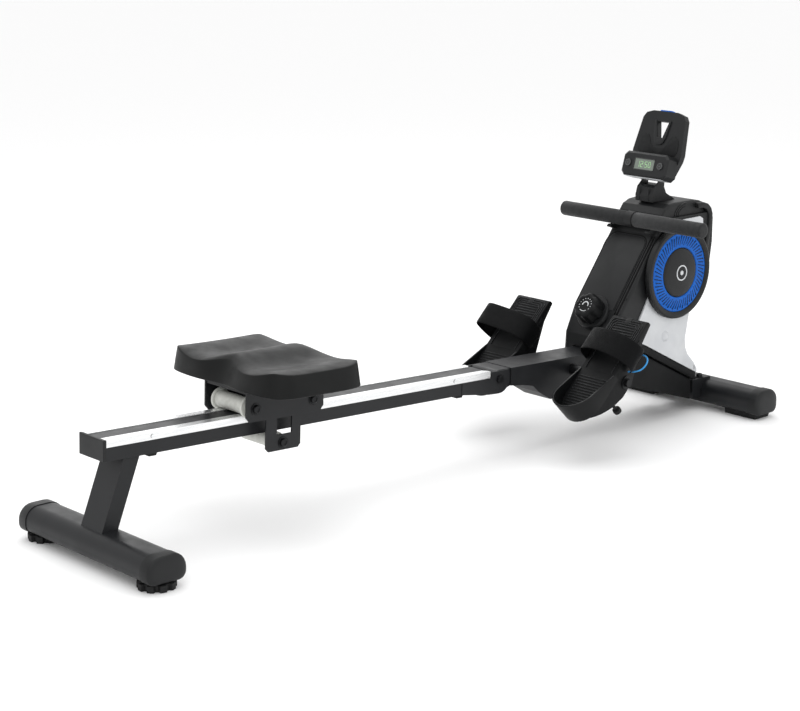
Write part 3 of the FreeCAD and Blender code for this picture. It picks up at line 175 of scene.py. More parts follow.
def woven(name, look):  # threads over and under each other, on the piece's own UV map in metres
    made, tree, shader = newFinish(name, look)
    vector = addNode(tree, "ShaderNodeTexCoord").outputs["UV"]
    slant = (0, 0, math.radians(look["slant"]))
    twisted = addNode(tree, "ShaderNodeMapping", {}, {"Vector": vector, "Rotation": slant}).outputs[0]
    tone = tintAndShine(tree, shader, look, twisted)
    rate = math.tau * 1000 / look["thread"] / 20  # a wave texture turns 20 rad in one unit at scale 1
    across = addNode(tree, "ShaderNodeTexWave", {"bands_direction": "X"}, {"Vector": twisted, "Scale": rate})
    along = addNode(tree, "ShaderNodeTexWave", {"bands_direction": "Y"}, {"Vector": twisted, "Scale": rate})
    over = addNode(tree, "ShaderNodeMath", {"operation": "MAXIMUM"}, {0: across.outputs[1], 1: along.outputs[1]})
    # the valleys between threads are painted darker: painted shade
    shaded = mixed(tree, over.outputs[0], linear(look["valleyShade"]), tone)
    tree.links.new(shaded, shader.inputs["Base Color"])
    raisedBy(tree, shader, over.outputs[0], look, 0.8)
    return made


finishes = {
    "powder_coat": grained("satin_powder_coat", {
        "colour": "#18191b", "second": "#1c1d1f", "patch": 60, "roughness": (0.36, 0.46), "smear": 30,
        "specular": 0.27, "grain": 0.9, "depth": 0.12, "raise": 0.35, "edge": 1.2, "edgePaint": "#323335", "edgePaintAmount": 0.5,
    }),  # a faint orange peel, and paler edges that are a painted highlight
    "bright_strip": grained("brushed_aluminium_strip", {
        "colour": "#eceded", "second": "#dfe0e1", "patch": 3, "roughness": (0.22, 0.36), "smear": 5,
        "grain": 0.35, "depth": 0.05, "raise": 0.3, "stretch": (0.03, 1, 1), "metallic": 0.85,
    }),  # long brushed lines that stretch the reflections along the rail
    "black_plastic": grained("textured_black_plastic", {
        "colour": "#151617", "second": "#191a1b", "patch": 90, "roughness": (0.4, 0.52), "smear": 40,
        "specular": 0.27, "grain": 0.7, "depth": 0.16, "raise": 0.45, "edge": 0.9, "edgePaint": "#2e2f30", "edgePaintAmount": 0.5,
    }),  # a spark-eroded grain that spreads highlights, and paler edges that are a painted highlight
    "gloss_black": grained("gloss_black_plastic", {
        "colour": "#0d0e0f", "second": "#111213", "patch": 70, "roughness": (0.16, 0.26), "smear": 25,
        "grain": 2.0, "depth": 0.02, "raise": 0.2, "coat": 0.4, "coatRoughness": 0.08,
    }),  # smooth and slightly wavy, as moulded plastic is
    "silver_panel": grained("silver_painted_plastic", {
        "colour": "#c6c8ca", "second": "#bcbec1", "patch": 50, "roughness": (0.3, 0.4), "smear": 30,
        "grain": 0.25, "depth": 0.03, "raise": 0.25, "metallic": 0.12, "coat": 0.3, "coatRoughness": 0.15,
    }),  # fine flakes under a clear coat
    "blue_plastic": grained("blue_moulded_plastic", {
        "colour": "#0059b4", "second": "#0052a8", "patch": 25, "roughness": (0.42, 0.54), "smear": 18,
        "grain": 0.6, "depth": 0.05, "raise": 0.3, "specular": 0.2,
    }),  # a strong through-coloured plastic
    "white_nylon": grained("white_nylon", {
        "colour": "#cfd0ca", "second": "#c2c3bc", "patch": 9, "roughness": (0.4, 0.55), "smear": 12, "grain": 0.5,
        "depth": 0.06, "raise": 0.3, "edge": 0.8, "edgePaint": "#c2c3bc", "edgePaintAmount": 0.3,
    }),  # milky, a little darker along its edges
    "black_rubber": grained("black_rubber", {
        "colour": "#0e0e0f", "second": "#141415", "specular": 0.3, "patch": 20, "roughness": (0.55, 0.72),
        "smear": 15, "grain": 0.6, "depth": 0.12, "raise": 0.5,
    }),  # dull and slightly dusty
    "seat_foam": pebbled("seat_foam_skin", {
        "colour": "#0d0e0e", "second": "#101111", "specular": 0.17, "patch": 45, "roughness": (0.4, 0.52),
        "smear": 30, "grain": 1.6, "depth": 0.16, "raise": 0.35,
    }),  # a soft leathery skin on moulded foam
    "foam_grip": pebbled("foam_grip_sleeve", {
        "colour": "#161718", "second": "#1b1c1d", "specular": 0.3, "patch": 12, "roughness": (0.62, 0.78),
        "smear": 10, "grain": 0.8, "depth": 0.18, "raise": 0.5, "sheen": 0.12,
    }),  # closed-cell foam, matte with tiny pores
    "webbing": woven("black_webbing", {
        "colour": "#08090a", "second": "#0a0b0c", "valleyShade": "#050506", "specular": 0.08, "patch": 9,
        "roughness": (0.42, 0.56), "smear": 14, "thread": 0.8, "slant": 0, "depth": 0.12,
    }),  # a tight weave that shows as a faint grid
    "blue_cord": woven("blue_braided_cord", {
        "colour": "#1497dd", "second": "#108bcf", "valleyShade": "#0a66a0", "patch": 4, "roughness": (0.5, 0.62),
        "smear": 5, "thread": 0.9, "slant": 45, "depth": 0.2, "sheen": 0.2,
    }),  # strands crossing at an angle
    "zinc": grained("zinc_plated_steel", {
        "colour": "#8e9093", "second": "#7c7e82", "patch": 6, "roughness": (0.28, 0.42), "smear": 6, "grain": 0.4,
        "depth": 0.03, "raise": 0.3, "metallic": 1,
    }),  # bright plating with faint cloudiness
    "black_steel": grained("black_oxide_bolts", {
        "colour": "#111214", "second": "#191a1c", "patch": 4, "roughness": (0.3, 0.44), "smear": 5, "grain": 0.4,
        "depth": 0.04, "raise": 0.3, "metallic": 0.6,
    }),  # oiled black screw heads
    "iron": grained("machined_iron", {
        "colour": "#5a5b5e", "second": "#4c4d50", "patch": 8, "roughness": (0.35, 0.5), "smear": 8, "grain": 0.5,
        "depth": 0.05, "raise": 0.4, "metallic": 1,
    }),  # turned marks on cast iron
    "screen": grained("display_glass", {
        "colour": "#6c746c", "second": "#677067", "patch": 15, "roughness": (0.2, 0.28), "smear": 12, "grain": 3,
        "depth": 0.01, "raise": 0.2, "coat": 0.2, "coatRoughness": 0.05,
    }),  # grey-green display under a clear window
    "lead_black": grained("black_cable_sheath", {
        "colour": "#0c0c0d", "second": "#111112", "patch": 5, "roughness": (0.4, 0.52), "smear": 6, "grain": 0.5,
        "depth": 0.04, "raise": 0.3,
    }),  # smooth soft sheath
    "mark": grained("pale_print", {
        "colour": "#c9cbcd", "second": "#c2c4c6", "patch": 5, "roughness": (0.4, 0.5), "smear": 5, "grain": 0.5,
        "depth": 0.01, "raise": 0.2,
    }),  # screen print, a little proud of the plastic
    "gloss_cup": grained("smooth_heel_cup", {
        "colour": "#0b0c0d", "second": "#0e0f10", "specular": 0.18, "patch": 40, "roughness": (0.3, 0.4),
        "smear": 25, "grain": 1.2, "depth": 0.03, "raise": 0.25,
    }),  # the cup is smoother than the ribbed sole
    "rib_plastic": grained("ribbed_sole_plastic", {
        "colour": "#0d0e0f", "second": "#111213", "specular": 0.2, "patch": 12, "roughness": (0.4, 0.5),
        "smear": 10, "grain": 0.6, "depth": 0.06, "raise": 0.3, "edge": 0.6, "edgePaint": "#77797b", "edgePaintAmount": 0.8,
    }),  # the ribs' edges are painted paler: a painted highlight
    "deep_shadow_rubber": grained("painted_recess_shade", {
        "colour": "#060606", "second": "#080808", "patch": 6, "roughness": (0.7, 0.8), "smear": 6, "grain": 0.6,
        "depth": 0.02, "raise": 0.2, "specular": 0.1,
    }),  # painted shade: a near-black flush sheet that reads as an open hole or a deep groove
    "slot_blue": grained("slot_shadow_blue", {
        "colour": "#03244c", "second": "#021f42", "patch": 6, "roughness": (0.5, 0.6), "smear": 6, "grain": 0.6,
        "depth": 0.02, "raise": 0.2, "specular": 0.2,
    }),  # the shaded floor of each slot
    "pad_rubber": grained("console_pad_rubber", {
        "colour": "#0e0f10", "second": "#121314", "patch": 15, "roughness": (0.6, 0.72), "smear": 10,
        "grain": 0.5, "depth": 0.05, "raise": 0.4, "specular": 0.25,
    }),  # a soft dark pad that holds a phone still
    "strap_black": grained("black_coated_strap", {
        "colour": "#0c0d0e", "second": "#101112", "specular": 0.3, "patch": 8, "roughness": (0.5, 0.62),
        "smear": 8, "grain": 0.7, "depth": 0.08, "raise": 0.5,
    }),  # coated webbing with a dull face
    "digit_ink": grained("display_digits", {
        "colour": "#a5d39b", "second": "#9ccb92", "patch": 6, "roughness": (0.4, 0.5), "smear": 5, "grain": 0.5,
        "depth": 0.01, "raise": 0.1, "specular": 0.2,
    }),  # pale green lit segments
    "dim_mark": grained("dim_print", {
        "colour": "#5d5f61", "second": "#585a5c", "patch": 5, "roughness": (0.45, 0.55), "smear": 5, "grain": 0.5,
        "depth": 0.01, "raise": 0.2, "specular": 0.25,
    }),  # faint grey print on the buttons
    "shade_plastic": grained("darkened_black_plastic", {
        "colour": "#0b0c0d", "second": "#0e0f10", "patch": 80, "roughness": (0.42, 0.54), "smear": 35,
        "specular": 0.15, "grain": 0.7, "depth": 0.14, "raise": 0.4, "edge": 0.9, "edgePaint": "#2a2b2c", "edgePaintAmount": 0.5,
    }),  # darker and less shiny than the housing, with the same grain and paler edges that are a painted highlight; on the lower cover the darker colour is painted shade
    "grey_plastic": grained("pale_grey_plastic", {
        "colour": "#b9bbbd", "second": "#aeb0b2", "patch": 20, "roughness": (0.4, 0.5), "smear": 15, "grain": 0.6,
        "depth": 0.06, "raise": 0.3,
    }),  # unpainted lower shell of the console
}
ownFinish = {  # where a node differs from its slot
    "fold_bolt": "black_steel", "pedal_axle": "black_steel", "carriage_axles": "black_steel",
    # the lower cover's darker plastic is painted shade
    "lower_cover": "shade_plastic",
}
for part in frame["record"]["subparts"]:
    carried = nodes[part["node"]]
    carried.data.materials.clear()
    carried.data.materials.append(finishes[ownFinish.get(part["node"], part["material_slot"])])
print("materials ready")


# making pieces
def newPiece(name, bm, place, finish, body, stands=(), angle=35, smooth=0):
    bmesh.ops.transform(bm, matrix=place, verts=bm.verts)
    bmesh.ops.remove_doubles(bm, verts=bm.verts, dist=1e-6)
    bmesh.ops.recalc_face_normals(bm, faces=bm.faces)
    mesh = bpy.data.meshes.new(name)
    bm.to_mesh(mesh)
    bm.free()
    mesh.shade_smooth()
    mesh.set_sharp_from_angle(angle=math.radians(angle))
    piece = bpy.data.objects.new(name, mesh)
    bpy.context.scene.collection.objects.link(piece)
    mesh.materials.append(finishes[finish])
    if smooth:
        layer = piece.modifiers.new("smooth", "SUBSURF")
        layer.levels = layer.render_levels = smooth
    if body:
        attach(piece, body)
    if stands:
        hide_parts(*stands)
    return piece


def softenEdges(bm, edges, width, segments=2):
    facts = {"offset_type": "OFFSET", "affect": "EDGES", "profile": 0.5, "material": -1}
    bmesh.ops.bevel(bm, geom=list(edges), offset=width, segments=segments, **facts)


def block(bm, low, high, soft=0, segments=2):  # a box from corner to corner with soft edges
    low, high = Vector(low), Vector(high)
    spread = Matrix.Diagonal((*(high - low), 1))
    made = bmesh.ops.create_cube(bm, size=1, matrix=Matrix.Translation((low + high) / 2) @ spread)
    if soft:
        softenEdges(bm, {e for v in made["verts"] for e in v.link_edges}, soft, segments)


def flatShape(bm, points):  # one face through a few corners
    return bm.faces.new([bm.verts.new(p) for p in points])


def pushed(bm, face, way):  # that face drawn out into a solid
    made = bmesh.ops.extrude_face_region(bm, geom=[face, *face.edges, *face.verts])
    moved = [g for g in made["geom"] if isinstance(g, bmesh.types.BMVert)]
    bmesh.ops.translate(bm, verts=moved, vec=way)
    return moved


def plate(bm, points, near, far, soft=0, across="Y", segments=2):  # an outline in a plane, between two depths
    lay = {"X": lambda a, b, d: (d, a, b), "Y": lambda a, b, d: (a, d, b), "Z": lambda a, b, d: (a, b, d)}[across]
    before = set(bm.edges)
    face = flatShape(bm, [lay(a, b, near) for a, b in points])
    pushed(bm, face, Vector(lay(0, 0, far)) - Vector(lay(0, 0, near)))
    if soft:
        softenEdges(bm, [e for e in bm.edges if e not in before], soft, segments)


def turned(bm, profile, axis, centre=(0, 0, 0), steps=48):  # a profile of (radius, height) spun round an axis
    lay = {"X": lambda r, h: (h, r, 0), "Y": lambda r, h: (0, h, r), "Z": lambda r, h: (r, 0, h)}[axis]
    spin = {"X": (1, 0, 0), "Y": (0, 1, 0), "Z": (0, 0, 1)}[axis]
    centre = Vector(centre)
    line = [bm.verts.new(Vector(lay(r, h)) + centre) for r, h in profile]
    edges = [bm.edges.new(pair) for pair in zip(line, line[1:])]
    bmesh.ops.spin(bm, geom=line + edges, cent=centre, axis=spin, angle=math.tau, steps=steps, use_merge=True)
    bmesh.ops.remove_doubles(bm, verts=bm.verts, dist=1e-4)


def capBolt(bm, centre, radius, tall, axis, side=1):  # a domed head with a round socket
    r, h = radius, tall * side
    profile = [(0, 0.35 * h), (0.48 * r, 0.35 * h), (0.52 * r, 0.98 * h), (0.78 * r, h), (0.95 * r, 0.8 * h)]
    turned(bm, profile + [(r, 0.5 * h), (r, 0)], axis, centre, 24)


# rail: bolts and the weld with the post
railLook = {"boltRadius": 4.2, "boltTall": 1.3, "bead": 2.6, "beads": 13, "beadStep": 2.8}


def makeRailDetails():
    bm = bmesh.new()
    for side in (-1, 1):
        for s in (114, 927):
            capBolt(bm, (s, side * 42, -8), railLook["boltRadius"], railLook["boltTall"], "Y", side)
    newPiece("rail_bolts", bm, alongRail, "black_steel", "rail")
    bm = bmesh.new()
    for side in (-1, 1):  # weld beads where the post meets the rail
        for k in range(railLook["beads"]):
            s = 53 + k * railLook["beadStep"]
            radius = railLook["bead"] * (0.8 + 0.2 * (k % 2))
            made = bmesh.ops.create_icosphere(bm, subdivisions=1, radius=radius)
            bmesh.ops.translate(bm, verts=made["verts"], vec=(s, side * 36, -43.2))
    newPiece("post_weld", bm, alongRail, "powder_coat", "rail", angle=60)


makeRailDetails()
print("rail finished")


# floor tubes: moulded caps with a lip, levelling feet
floorLook = {
    "half": 217, "capLip": 1.6, "capLong": 20, "lobes": 9, "lobeDeep": 6.5, "footRadius": 38, "footTall": 14,
}


def tubeOutline(low, high, back, front, lowRound, topRound, grow):
    points = []
    corners = (
        (front - lowRound, low + lowRound, lowRound, -90),
        (front - topRound, high - topRound, topRound, 0),
        (back + topRound, high - topRound, topRound, 90),
        (back + lowRound, low + lowRound, lowRound, 180),
    )
    for x, z, r, start in corners:
        for k in range(7):
            a = math.radians(start + 15 * k)
            points.append((x + (r + grow) * math.cos(a), z + (r + grow) * math.sin(a)))
    return points


def makeCap(name, section, side, node, body):
    bm = bmesh.new()
    near = side * (floorLook["half"] - floorLook["capLong"])
    lip = tubeOutline(*section, floorLook["capLip"])
    face = flatShape(bm, [(x, near, z) for x, z in lip])
    middle = face.calc_center_median()
    steps = ((floorLook["capLong"] + 3, 1.0), (3.2, 0.965), (2.2, 0.9), (1.2, 0.78), (0.6, 0.6))
    for out, shrink in steps:
        moved = pushed(bm, face, (0, side * out, 0))
        middle.y += side * out
        bmesh.ops.scale(bm, verts=moved, vec=(shrink, 1, shrink), space=Matrix.Translation(-middle))
        face = [f for f in bm.faces if all(v in moved for v in f.verts)][0]
    newPiece(name, bm, upright, "black_plastic", body, [node], angle=50)


rearTube = (18, 70, -33, 55, 16, 30)
frontTube = (14, 72, 1770, 1852, 16, 30)
for side, word in ((-1, "right"), (1, "left")):
    makeCap("rear_cap_moulded_" + word, rearTube, side, "rear_cap_" + word, "rail")
    makeCap("front_cap_moulded_" + word, frontTube, side, "front_cap_" + word, "base")


def makeLevelFoot(word, side):
    bm = bmesh.new()
    rim = []
    count = floorLook["lobes"]
    for k in range(count * 8):  # square lobes with gaps between them
        a = math.tau * k / (count * 8)
        r = floorLook["footRadius"] - (0 if k % 8 in (1, 2, 3, 4, 5) else floorLook["lobeDeep"])
        rim.append((10 + r * math.cos(a), side * 190 + r * math.sin(a)))
    plate(bm, rim, 0.2, floorLook["footTall"], across="Z")
    softenEdges(bm, [e for e in bm.edges if abs(e.verts[0].co.z - e.verts[1].co.z) < 0.01], 1.2)
    turned(bm, [(0, 14), (13, 14), (13, 17), (9, 17.6), (0, 17.6)], "Z", (10, side * 190, 0), 6)
    body = f"level_foot_{word}_body"
    newPiece("level_foot_lobed_" + word, bm, upright, "black_rubber", body, ["level_foot_" + word], angle=40)


for side, word in ((-1, "right"), (1, "left")):
    makeLevelFoot(word, side)
print("floor tubes finished")


# seat: one moulded cushion with a hollow for each thigh
seatLook = {
    "rear": 302, "front": 551, "half": 190, "low": 60, "edge": 113, "lean": 11, "corner": 6,
    "ridge": 10, "ridgeWide": 0.2, "hollow": 16, "lift": 5, "dip": 34,
}


def seatTop(u, v):  # height of the top above the rail, u from rear to front, v from side to side, -1 to 1
    look = seatLook
    ridge = look["ridge"] * math.exp(-(v / look["ridgeWide"]) ** 2)
    hollow = look["hollow"] * math.exp(-((abs(v) - 0.48) / 0.28) ** 2 - ((u + 0.15) / 1.1) ** 2)
    return look["edge"] + ridge - hollow + look["lift"] * abs(v) ** 3 + 2 * abs(u) ** 3


def makeSeat():
    look = seatLook
    bm = bmesh.new()
    bmesh.ops.create_cube(bm, size=2)
    bmesh.ops.subdivide_edges(bm, edges=bm.edges, cuts=15, use_grid_fill=True)
    middle, reach = (look["rear"] + look["front"]) / 2, (look["front"] - look["rear"]) / 2
    for v in bm.verts:
        a, b, c = v.co
        if abs(a) > 0.99 or abs(b) > 0.99 or abs(c) > 0.99:
            bulk = (abs(a) ** look["corner"] + abs(b) ** look["corner"]) ** (1 / look["corner"])
            square = max(abs(a), abs(b), 1e-6)
            a, b = a * square / max(bulk, 1e-6), b * square / max(bulk, 1e-6)
        up = (c + 1) / 2
        notch = look["dip"] * math.exp(-(b / 0.22) ** 2)
        x = middle + a * (reach - (notch if a < 0 else 0.4 * notch) * (0.25 + 0.75 * up) - 3 * up)
        y = b * (look["half"] - look["lean"] * up)
        tall = seatTop(a, b) - look["low"]
        rim = 1 - 0.2 * max(abs(a), abs(b)) ** 9 * up ** 3
        v.co = (x, y, look["low"] + tall * up * rim)
    seat = newPiece("seat_cushion", bm, alongRail, "seat_foam", "carriage", ["seat_pad"], angle=80, smooth=1)


makeSeat()
print("seat finished")


# carriage: stepped rollers, bolt heads
rollerLook = {
    "rear": (346, 18.3), "front": (496, 18.3), "lower": (417, -61.3), "radius": 18, "flange": 23, "hub": 12,
}


def makeRoller(word, s, t, flanged):
    look = rollerLook
    bm = bmesh.new()
    r, edge = look["radius"], 43.5
    end = look["flange"] if flanged else r
    half = [(6.1, 60), (look["hub"] - 1, 60), (look["hub"], 59), (look["hub"], edge + 8)]
    half += [(end - 1.5, edge + 7), (end, edge + 5.5), (end, edge + 1.5), (end - 1.2, edge)]
    half += [(r, edge - 0.2), (r, 20)]
    mirrored = [(a, -b) for a, b in reversed(half)]
    turned(bm, half + mirrored + [half[0]], "Y", steps=40)
    spot = alongRail @ Matrix.Translation((s, 0, t))
    body = f"roller_{word}_body"
    newPiece(f"roller_{word}_stepped", bm, spot, "white_nylon", body, ["roller_" + word], angle=30)


for word, flanged in (("rear", True), ("front", True), ("lower", False)):
    makeRoller(word, *rollerLook[word], flanged)


def makeCarriageBolts():
    bm = bmesh.new()
    for s, t in (rollerLook["rear"], rollerLook["front"], rollerLook["lower"]):
        for side in (-1, 1):
            capBolt(bm, (s, side * 70, t), 9, 6, "Y", side)
            washer = [(0, side * 70.1), (12.5, side * 70.1), (12.5, side * 71.4), (0, side * 71.4)]
            turned(bm, washer, "Y", (s, 0, t), 32)
    newPiece("carriage_bolts", bm, alongRail, "black_steel", "carriage", angle=30)


makeCarriageBolts()
print("carriage finished")


# footrests: ribbed toe plate, heel cup, stud, strap and pull loop
pedalLook = {
    "half": 52.5, "face": 43, "toe": 144, "heel": -88, "wall": 4.2, "cupHigh": 88,
    "ribWide": 2.6, "ribTall": 1.8, "ribStep": 7.2, "strapFrom": 15, "strapWide": 60, "strapThick": 2.6,
    "loopThick": 3.6,
}


def trimmed(bm, point, away):  # cuts off what lies beyond a plane and closes the cut
    geometry = list(bm.verts) + list(bm.edges) + list(bm.faces)
    bmesh.ops.bisect_plane(bm, geom=geometry, plane_co=point, plane_no=away, clear_outer=True)
    bmesh.ops.holes_fill(bm, edges=[e for e in bm.edges if e.is_boundary], sides=0)


def heelOutline(inset, count=14):
    look = pedalLook
    half, reach = look["half"] - inset, 53 - inset
    turn = [math.radians(90 + 180 * k / count) for k in range(count + 1)]
    return [(look["heel"] + reach * math.cos(a), half * math.sin(a)) for a in turn]


def makePedal(word, side):
    look = pedalLook
    place = local(1307, side * 154.5, 177, machine["pedalLean"])
    half, face = look["half"], look["face"]
    bm = bmesh.new()
    under = ((-10, -18), (16, -17), (48, -2), (96, 20), (144, 29), (144, 38), (139, face), (-10, face))
    plate(bm, under, -half, half, 2)
    newPiece(f"pedal_{word}_toe", bm, place, "shade_plastic", f"pedal_{word}_body", ["pedal_" + word], angle=40)
    bm = bmesh.new()
    sole = [(-9, half)] + heelOutline(0) + [(-9, -half)]
    plate(bm, sole, -18, face, across="Z")
    trimmed(bm, (-30, 0, -18), (-0.3, 0, -0.95))
    trimmed(bm, (-70, 0, -4), (-0.5, 0, -0.86))
    trimmed(bm, (-120, 0, 14), (-0.72, 0, -0.7))
    newPiece(f"pedal_{word}_heel", bm, place, "shade_plastic", f"pedal_{word}_body", angle=30)
    bm = bmesh.new()
    outer, inner = heelOutline(-0.4, 22), heelOutline(look["wall"], 22)
    band = [(-12, half + 0.4)] + outer + [(-12, -half - 0.4), (-12, look["wall"] - half)] + inner[::-1]
    band += [(-12, half - look["wall"])]
    plate(bm, band, face - 16, look["cupHigh"], across="Z")
    trimmed(bm, (-12, 0, face + 1), (0.34, 0, 0.94))
    rim = [e for e in bm.edges if e.is_manifold and e.calc_face_angle() > 0.9]
    softenEdges(bm, [e for e in rim if min(v.co.z for v in e.verts) > face], 1.1)
    newPiece(f"pedal_{word}_cup", bm, place, "gloss_cup", f"pedal_{word}_body", angle=40)
    bm = bmesh.new()
    wide, tall = look["ribWide"], look["ribTall"]
    for k in range(13):  # cross ribs in the heel
        x = -124 + k * look["ribStep"] + 6
        over = min(1, math.sqrt(max(0.06, 1 - ((min(x, look["heel"]) - look["heel"]) / 48) ** 2)))
        reach = (half - 10) * over
        block(bm, (x, -reach, face - 0.6), (x + wide, reach, face + tall), 0.7, 2)
    for inset in (5, 10.5, 16):  # nested lines that follow the toe's edge
        w, top = half - inset, look["toe"] - 3 - inset
        c, t = 8, 2.4
        line = [(76, -w), (top - c, -w), (top, -w + c), (top, w - c), (top - c, w), (76, w), (76, w - t)]
        line += [(top - c - 1, w - t), (top - t, w - c - 1), (top - t, c + 1 - w), (top - c - 1, t - w)]
        line.append((76, t - w))
        plate(bm, line, face - 0.5, face + tall, 0.5, "Z", 1)
    for k in range(8):  # cross ribs inside them
        x = 66 + k * look["ribStep"]
        block(bm, (x, -half + 21, face - 0.6), (x + wide, half - 21, face + tall), 0.7, 2)
    block(bm, (look["toe"] - 22, -7, face - 0.6), (look["toe"] - 4, 7, face + tall + 0.3), 0.8, 2)
    for flip in (-1, 1):  # rails beside the ribs, under the strap
        block(bm, (-8, flip * 40 - 1.2, face - 0.6), (76, flip * 40 + 1.2, face + tall), 0.6, 2)
    newPiece(f"pedal_{word}_ribs", bm, place, "rib_plastic", f"pedal_{word}_body", angle=40)
    bm = bmesh.new()
    turned(bm, [(0, -80), (4, -80), (4, -8), (0, -8)], "Z", (-36, 0, 0), 20)
    turned(bm, [(0, -88), (7, -88), (9.4, -86), (10, -81), (9.4, -76), (7, -74), (0, -74)], "Z", (-36, 0, 0), 28)
    turned(bm, [(0, -24), (8, -24), (8, -16), (0, -16)], "Z", (-36, 0, 0), 6)
    newPiece(f"pedal_{word}_stud", bm, place, "black_rubber", f"pedal_{word}_body", angle=40)
    bm = bmesh.new()
    for flip in (-1, 1):  # a raised lip round the slot in each side of the toe plate
        deep = sorted((flip * (half - 0.2), flip * (half + 1.2)))
        for low, high in (((30, 33), (96, 35)), ((30, 22), (78, 24))):
            block(bm, (low[0], deep[0], low[1]), (high[0], deep[1], high[1]), 0.5, 2)
    newPiece(f"pedal_{word}_lip", bm, place, "shade_plastic", f"pedal_{word}_body", angle=40)


def makeStrap(word, side):
    look = pedalLook
    arch = {
        "right": [(-55.2, 12), (-56, 42), (-57, 62), (-50, 79), (-36, 90), (-14, 95), (10, 95), (32, 90), (52, 80),
                  (68, 66), (77, 49), (79, 34), (73, 22), (58, 14)],
        "left": [(-55.2, 12), (-55.6, 40), (-54, 56), (-44, 70), (-26, 79), (-2, 85), (22, 90), (46, 95), (64, 96),
                 (75, 90), (78, 74), (75, 50), (68, 28), (58, 14)],
    }[word]
    bm = bmesh.new()
    line = [bm.verts.new((look["strapFrom"], side * y, z)) for y, z in arch]
    edges = [bm.edges.new(pair) for pair in zip(line, line[1:])]
    travelled = [0.0]
    for before, after in zip(line, line[1:]):
        travelled.append(travelled[-1] + (after.co - before.co).length)
    lengths = {(round(v.co.y, 3), round(v.co.z, 3)): way for v, way in zip(line, travelled)}
    reached = edges
    for k in range(4):
        made = bmesh.ops.extrude_edge_only(bm, edges=reached)
        reached = [g for g in made["geom"] if isinstance(g, bmesh.types.BMEdge)]
        reached = [e for e in reached if all(v in made["geom"] for v in e.verts)]
        moved = [g for g in made["geom"] if isinstance(g, bmesh.types.BMVert)]
        bmesh.ops.translate(bm, verts=moved, vec=(look["strapWide"] / 4, 0, 0))
    layer = bm.loops.layers.uv.new("UVMap")
    for face in bm.faces:
        for loop in face.loops:
            at = loop.vert.co
            loop[layer].uv = (lengths[(round(at.y, 3), round(at.z, 3))] / 1000, at.x / 1000)
    place = local(1307, side * 154.5, 177, machine["pedalLean"])
    body = f"pedal_{word}_body"
    strap = newPiece("foot_strap_" + word, bm, place, "webbing", body, ["pedal_strap_" + word], angle=180)
    thick = strap.modifiers.new("thick", "SOLIDIFY")
    thick.thickness = look["strapThick"] / 1000
    thick.offset = 0
    smooth = strap.modifiers.new("smooth", "SUBSURF")
    smooth.levels = smooth.render_levels = 2


def makeCord(name, points, thick, place, body, stands, **facts):
    curve = bpy.data.curves.new(name, "CURVE")
    curve.dimensions = "3D"
    line = curve.splines.new("NURBS")
    line.points.add(len(points) - 1)
    for spot, point in zip(line.points, points):
        spot.co = (*(place @ Vector(point)), 1)
    line.order_u = 3
    line.use_endpoint_u = True
    line.resolution_u = 12
    curve.bevel_depth = thick / 2000
    curve.bevel_resolution = 5
    piece = bpy.data.objects.new(name, curve)
    bpy.context.scene.collection.objects.link(piece)
    curve.materials.append(finishes[facts.pop("finish")])
    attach(piece, body)
    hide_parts(*stands)
    return piece


loopRoute = ((-25, 0.05), (-24, 18), (-11, 32), (11, 32), (24, 18), (25, 0.05))  # along and out from the strap
for side, word in ((-1, "right"), (1, "left")):
    makePedal(word, side)
    makeStrap(word, side)
    place = local(1307, side * 154.5, 177, machine["pedalLean"])
    route = [(45 + x, side * (56.3 + y + min(8, 0.3 * y)), 16 + min(5, 0.2 * y)) for x, y in loopRoute]
    makeCord(
        "pull_loop_" + word, route, pedalLook["loopThick"], place, f"pedal_{word}_body", ["strap_loop_" + word],
        finish="blue_cord", length=0.107, far_end="object", stiffness="medium", lay="taut",
    )
print("footrests finished")


# housing: arched panel, grooves painted as dark strips and raised ridges on the rear face, panel buttons, skirts,
# corner bands, cover ribs
shellLook = {
    "panelHigh": 1.8, "panelSoft": 1.2, "archLeft": 64.5, "archRight": -53, "archTop": 200, "corner": 24,
    "grooveWide": 2.0, "hole": (35, -78),
}
rearFace = local(1430, 0, 300) @ Matrix(((0.599, 0, -0.8, 0), (0, 1, 0, 0), (0.8, 0, 0.599, 0), (0, 0, 0, 1)))


def archOutline(grow, bottom):
    look = shellLook
    left, right = look["archLeft"] + grow, look["archRight"] - grow
    top, r = look["archTop"] + grow, look["corner"] + grow
    points = [(bottom, left)]
    for middle, start in (((top - r, left - r), 90), ((top - r, right + r), 0)):
        for k in range(7):
            a = math.radians(start - 15 * k)
            points.append((middle[0] + r * math.cos(a), middle[1] + r * math.sin(a)))
    return points + [(bottom, right)]


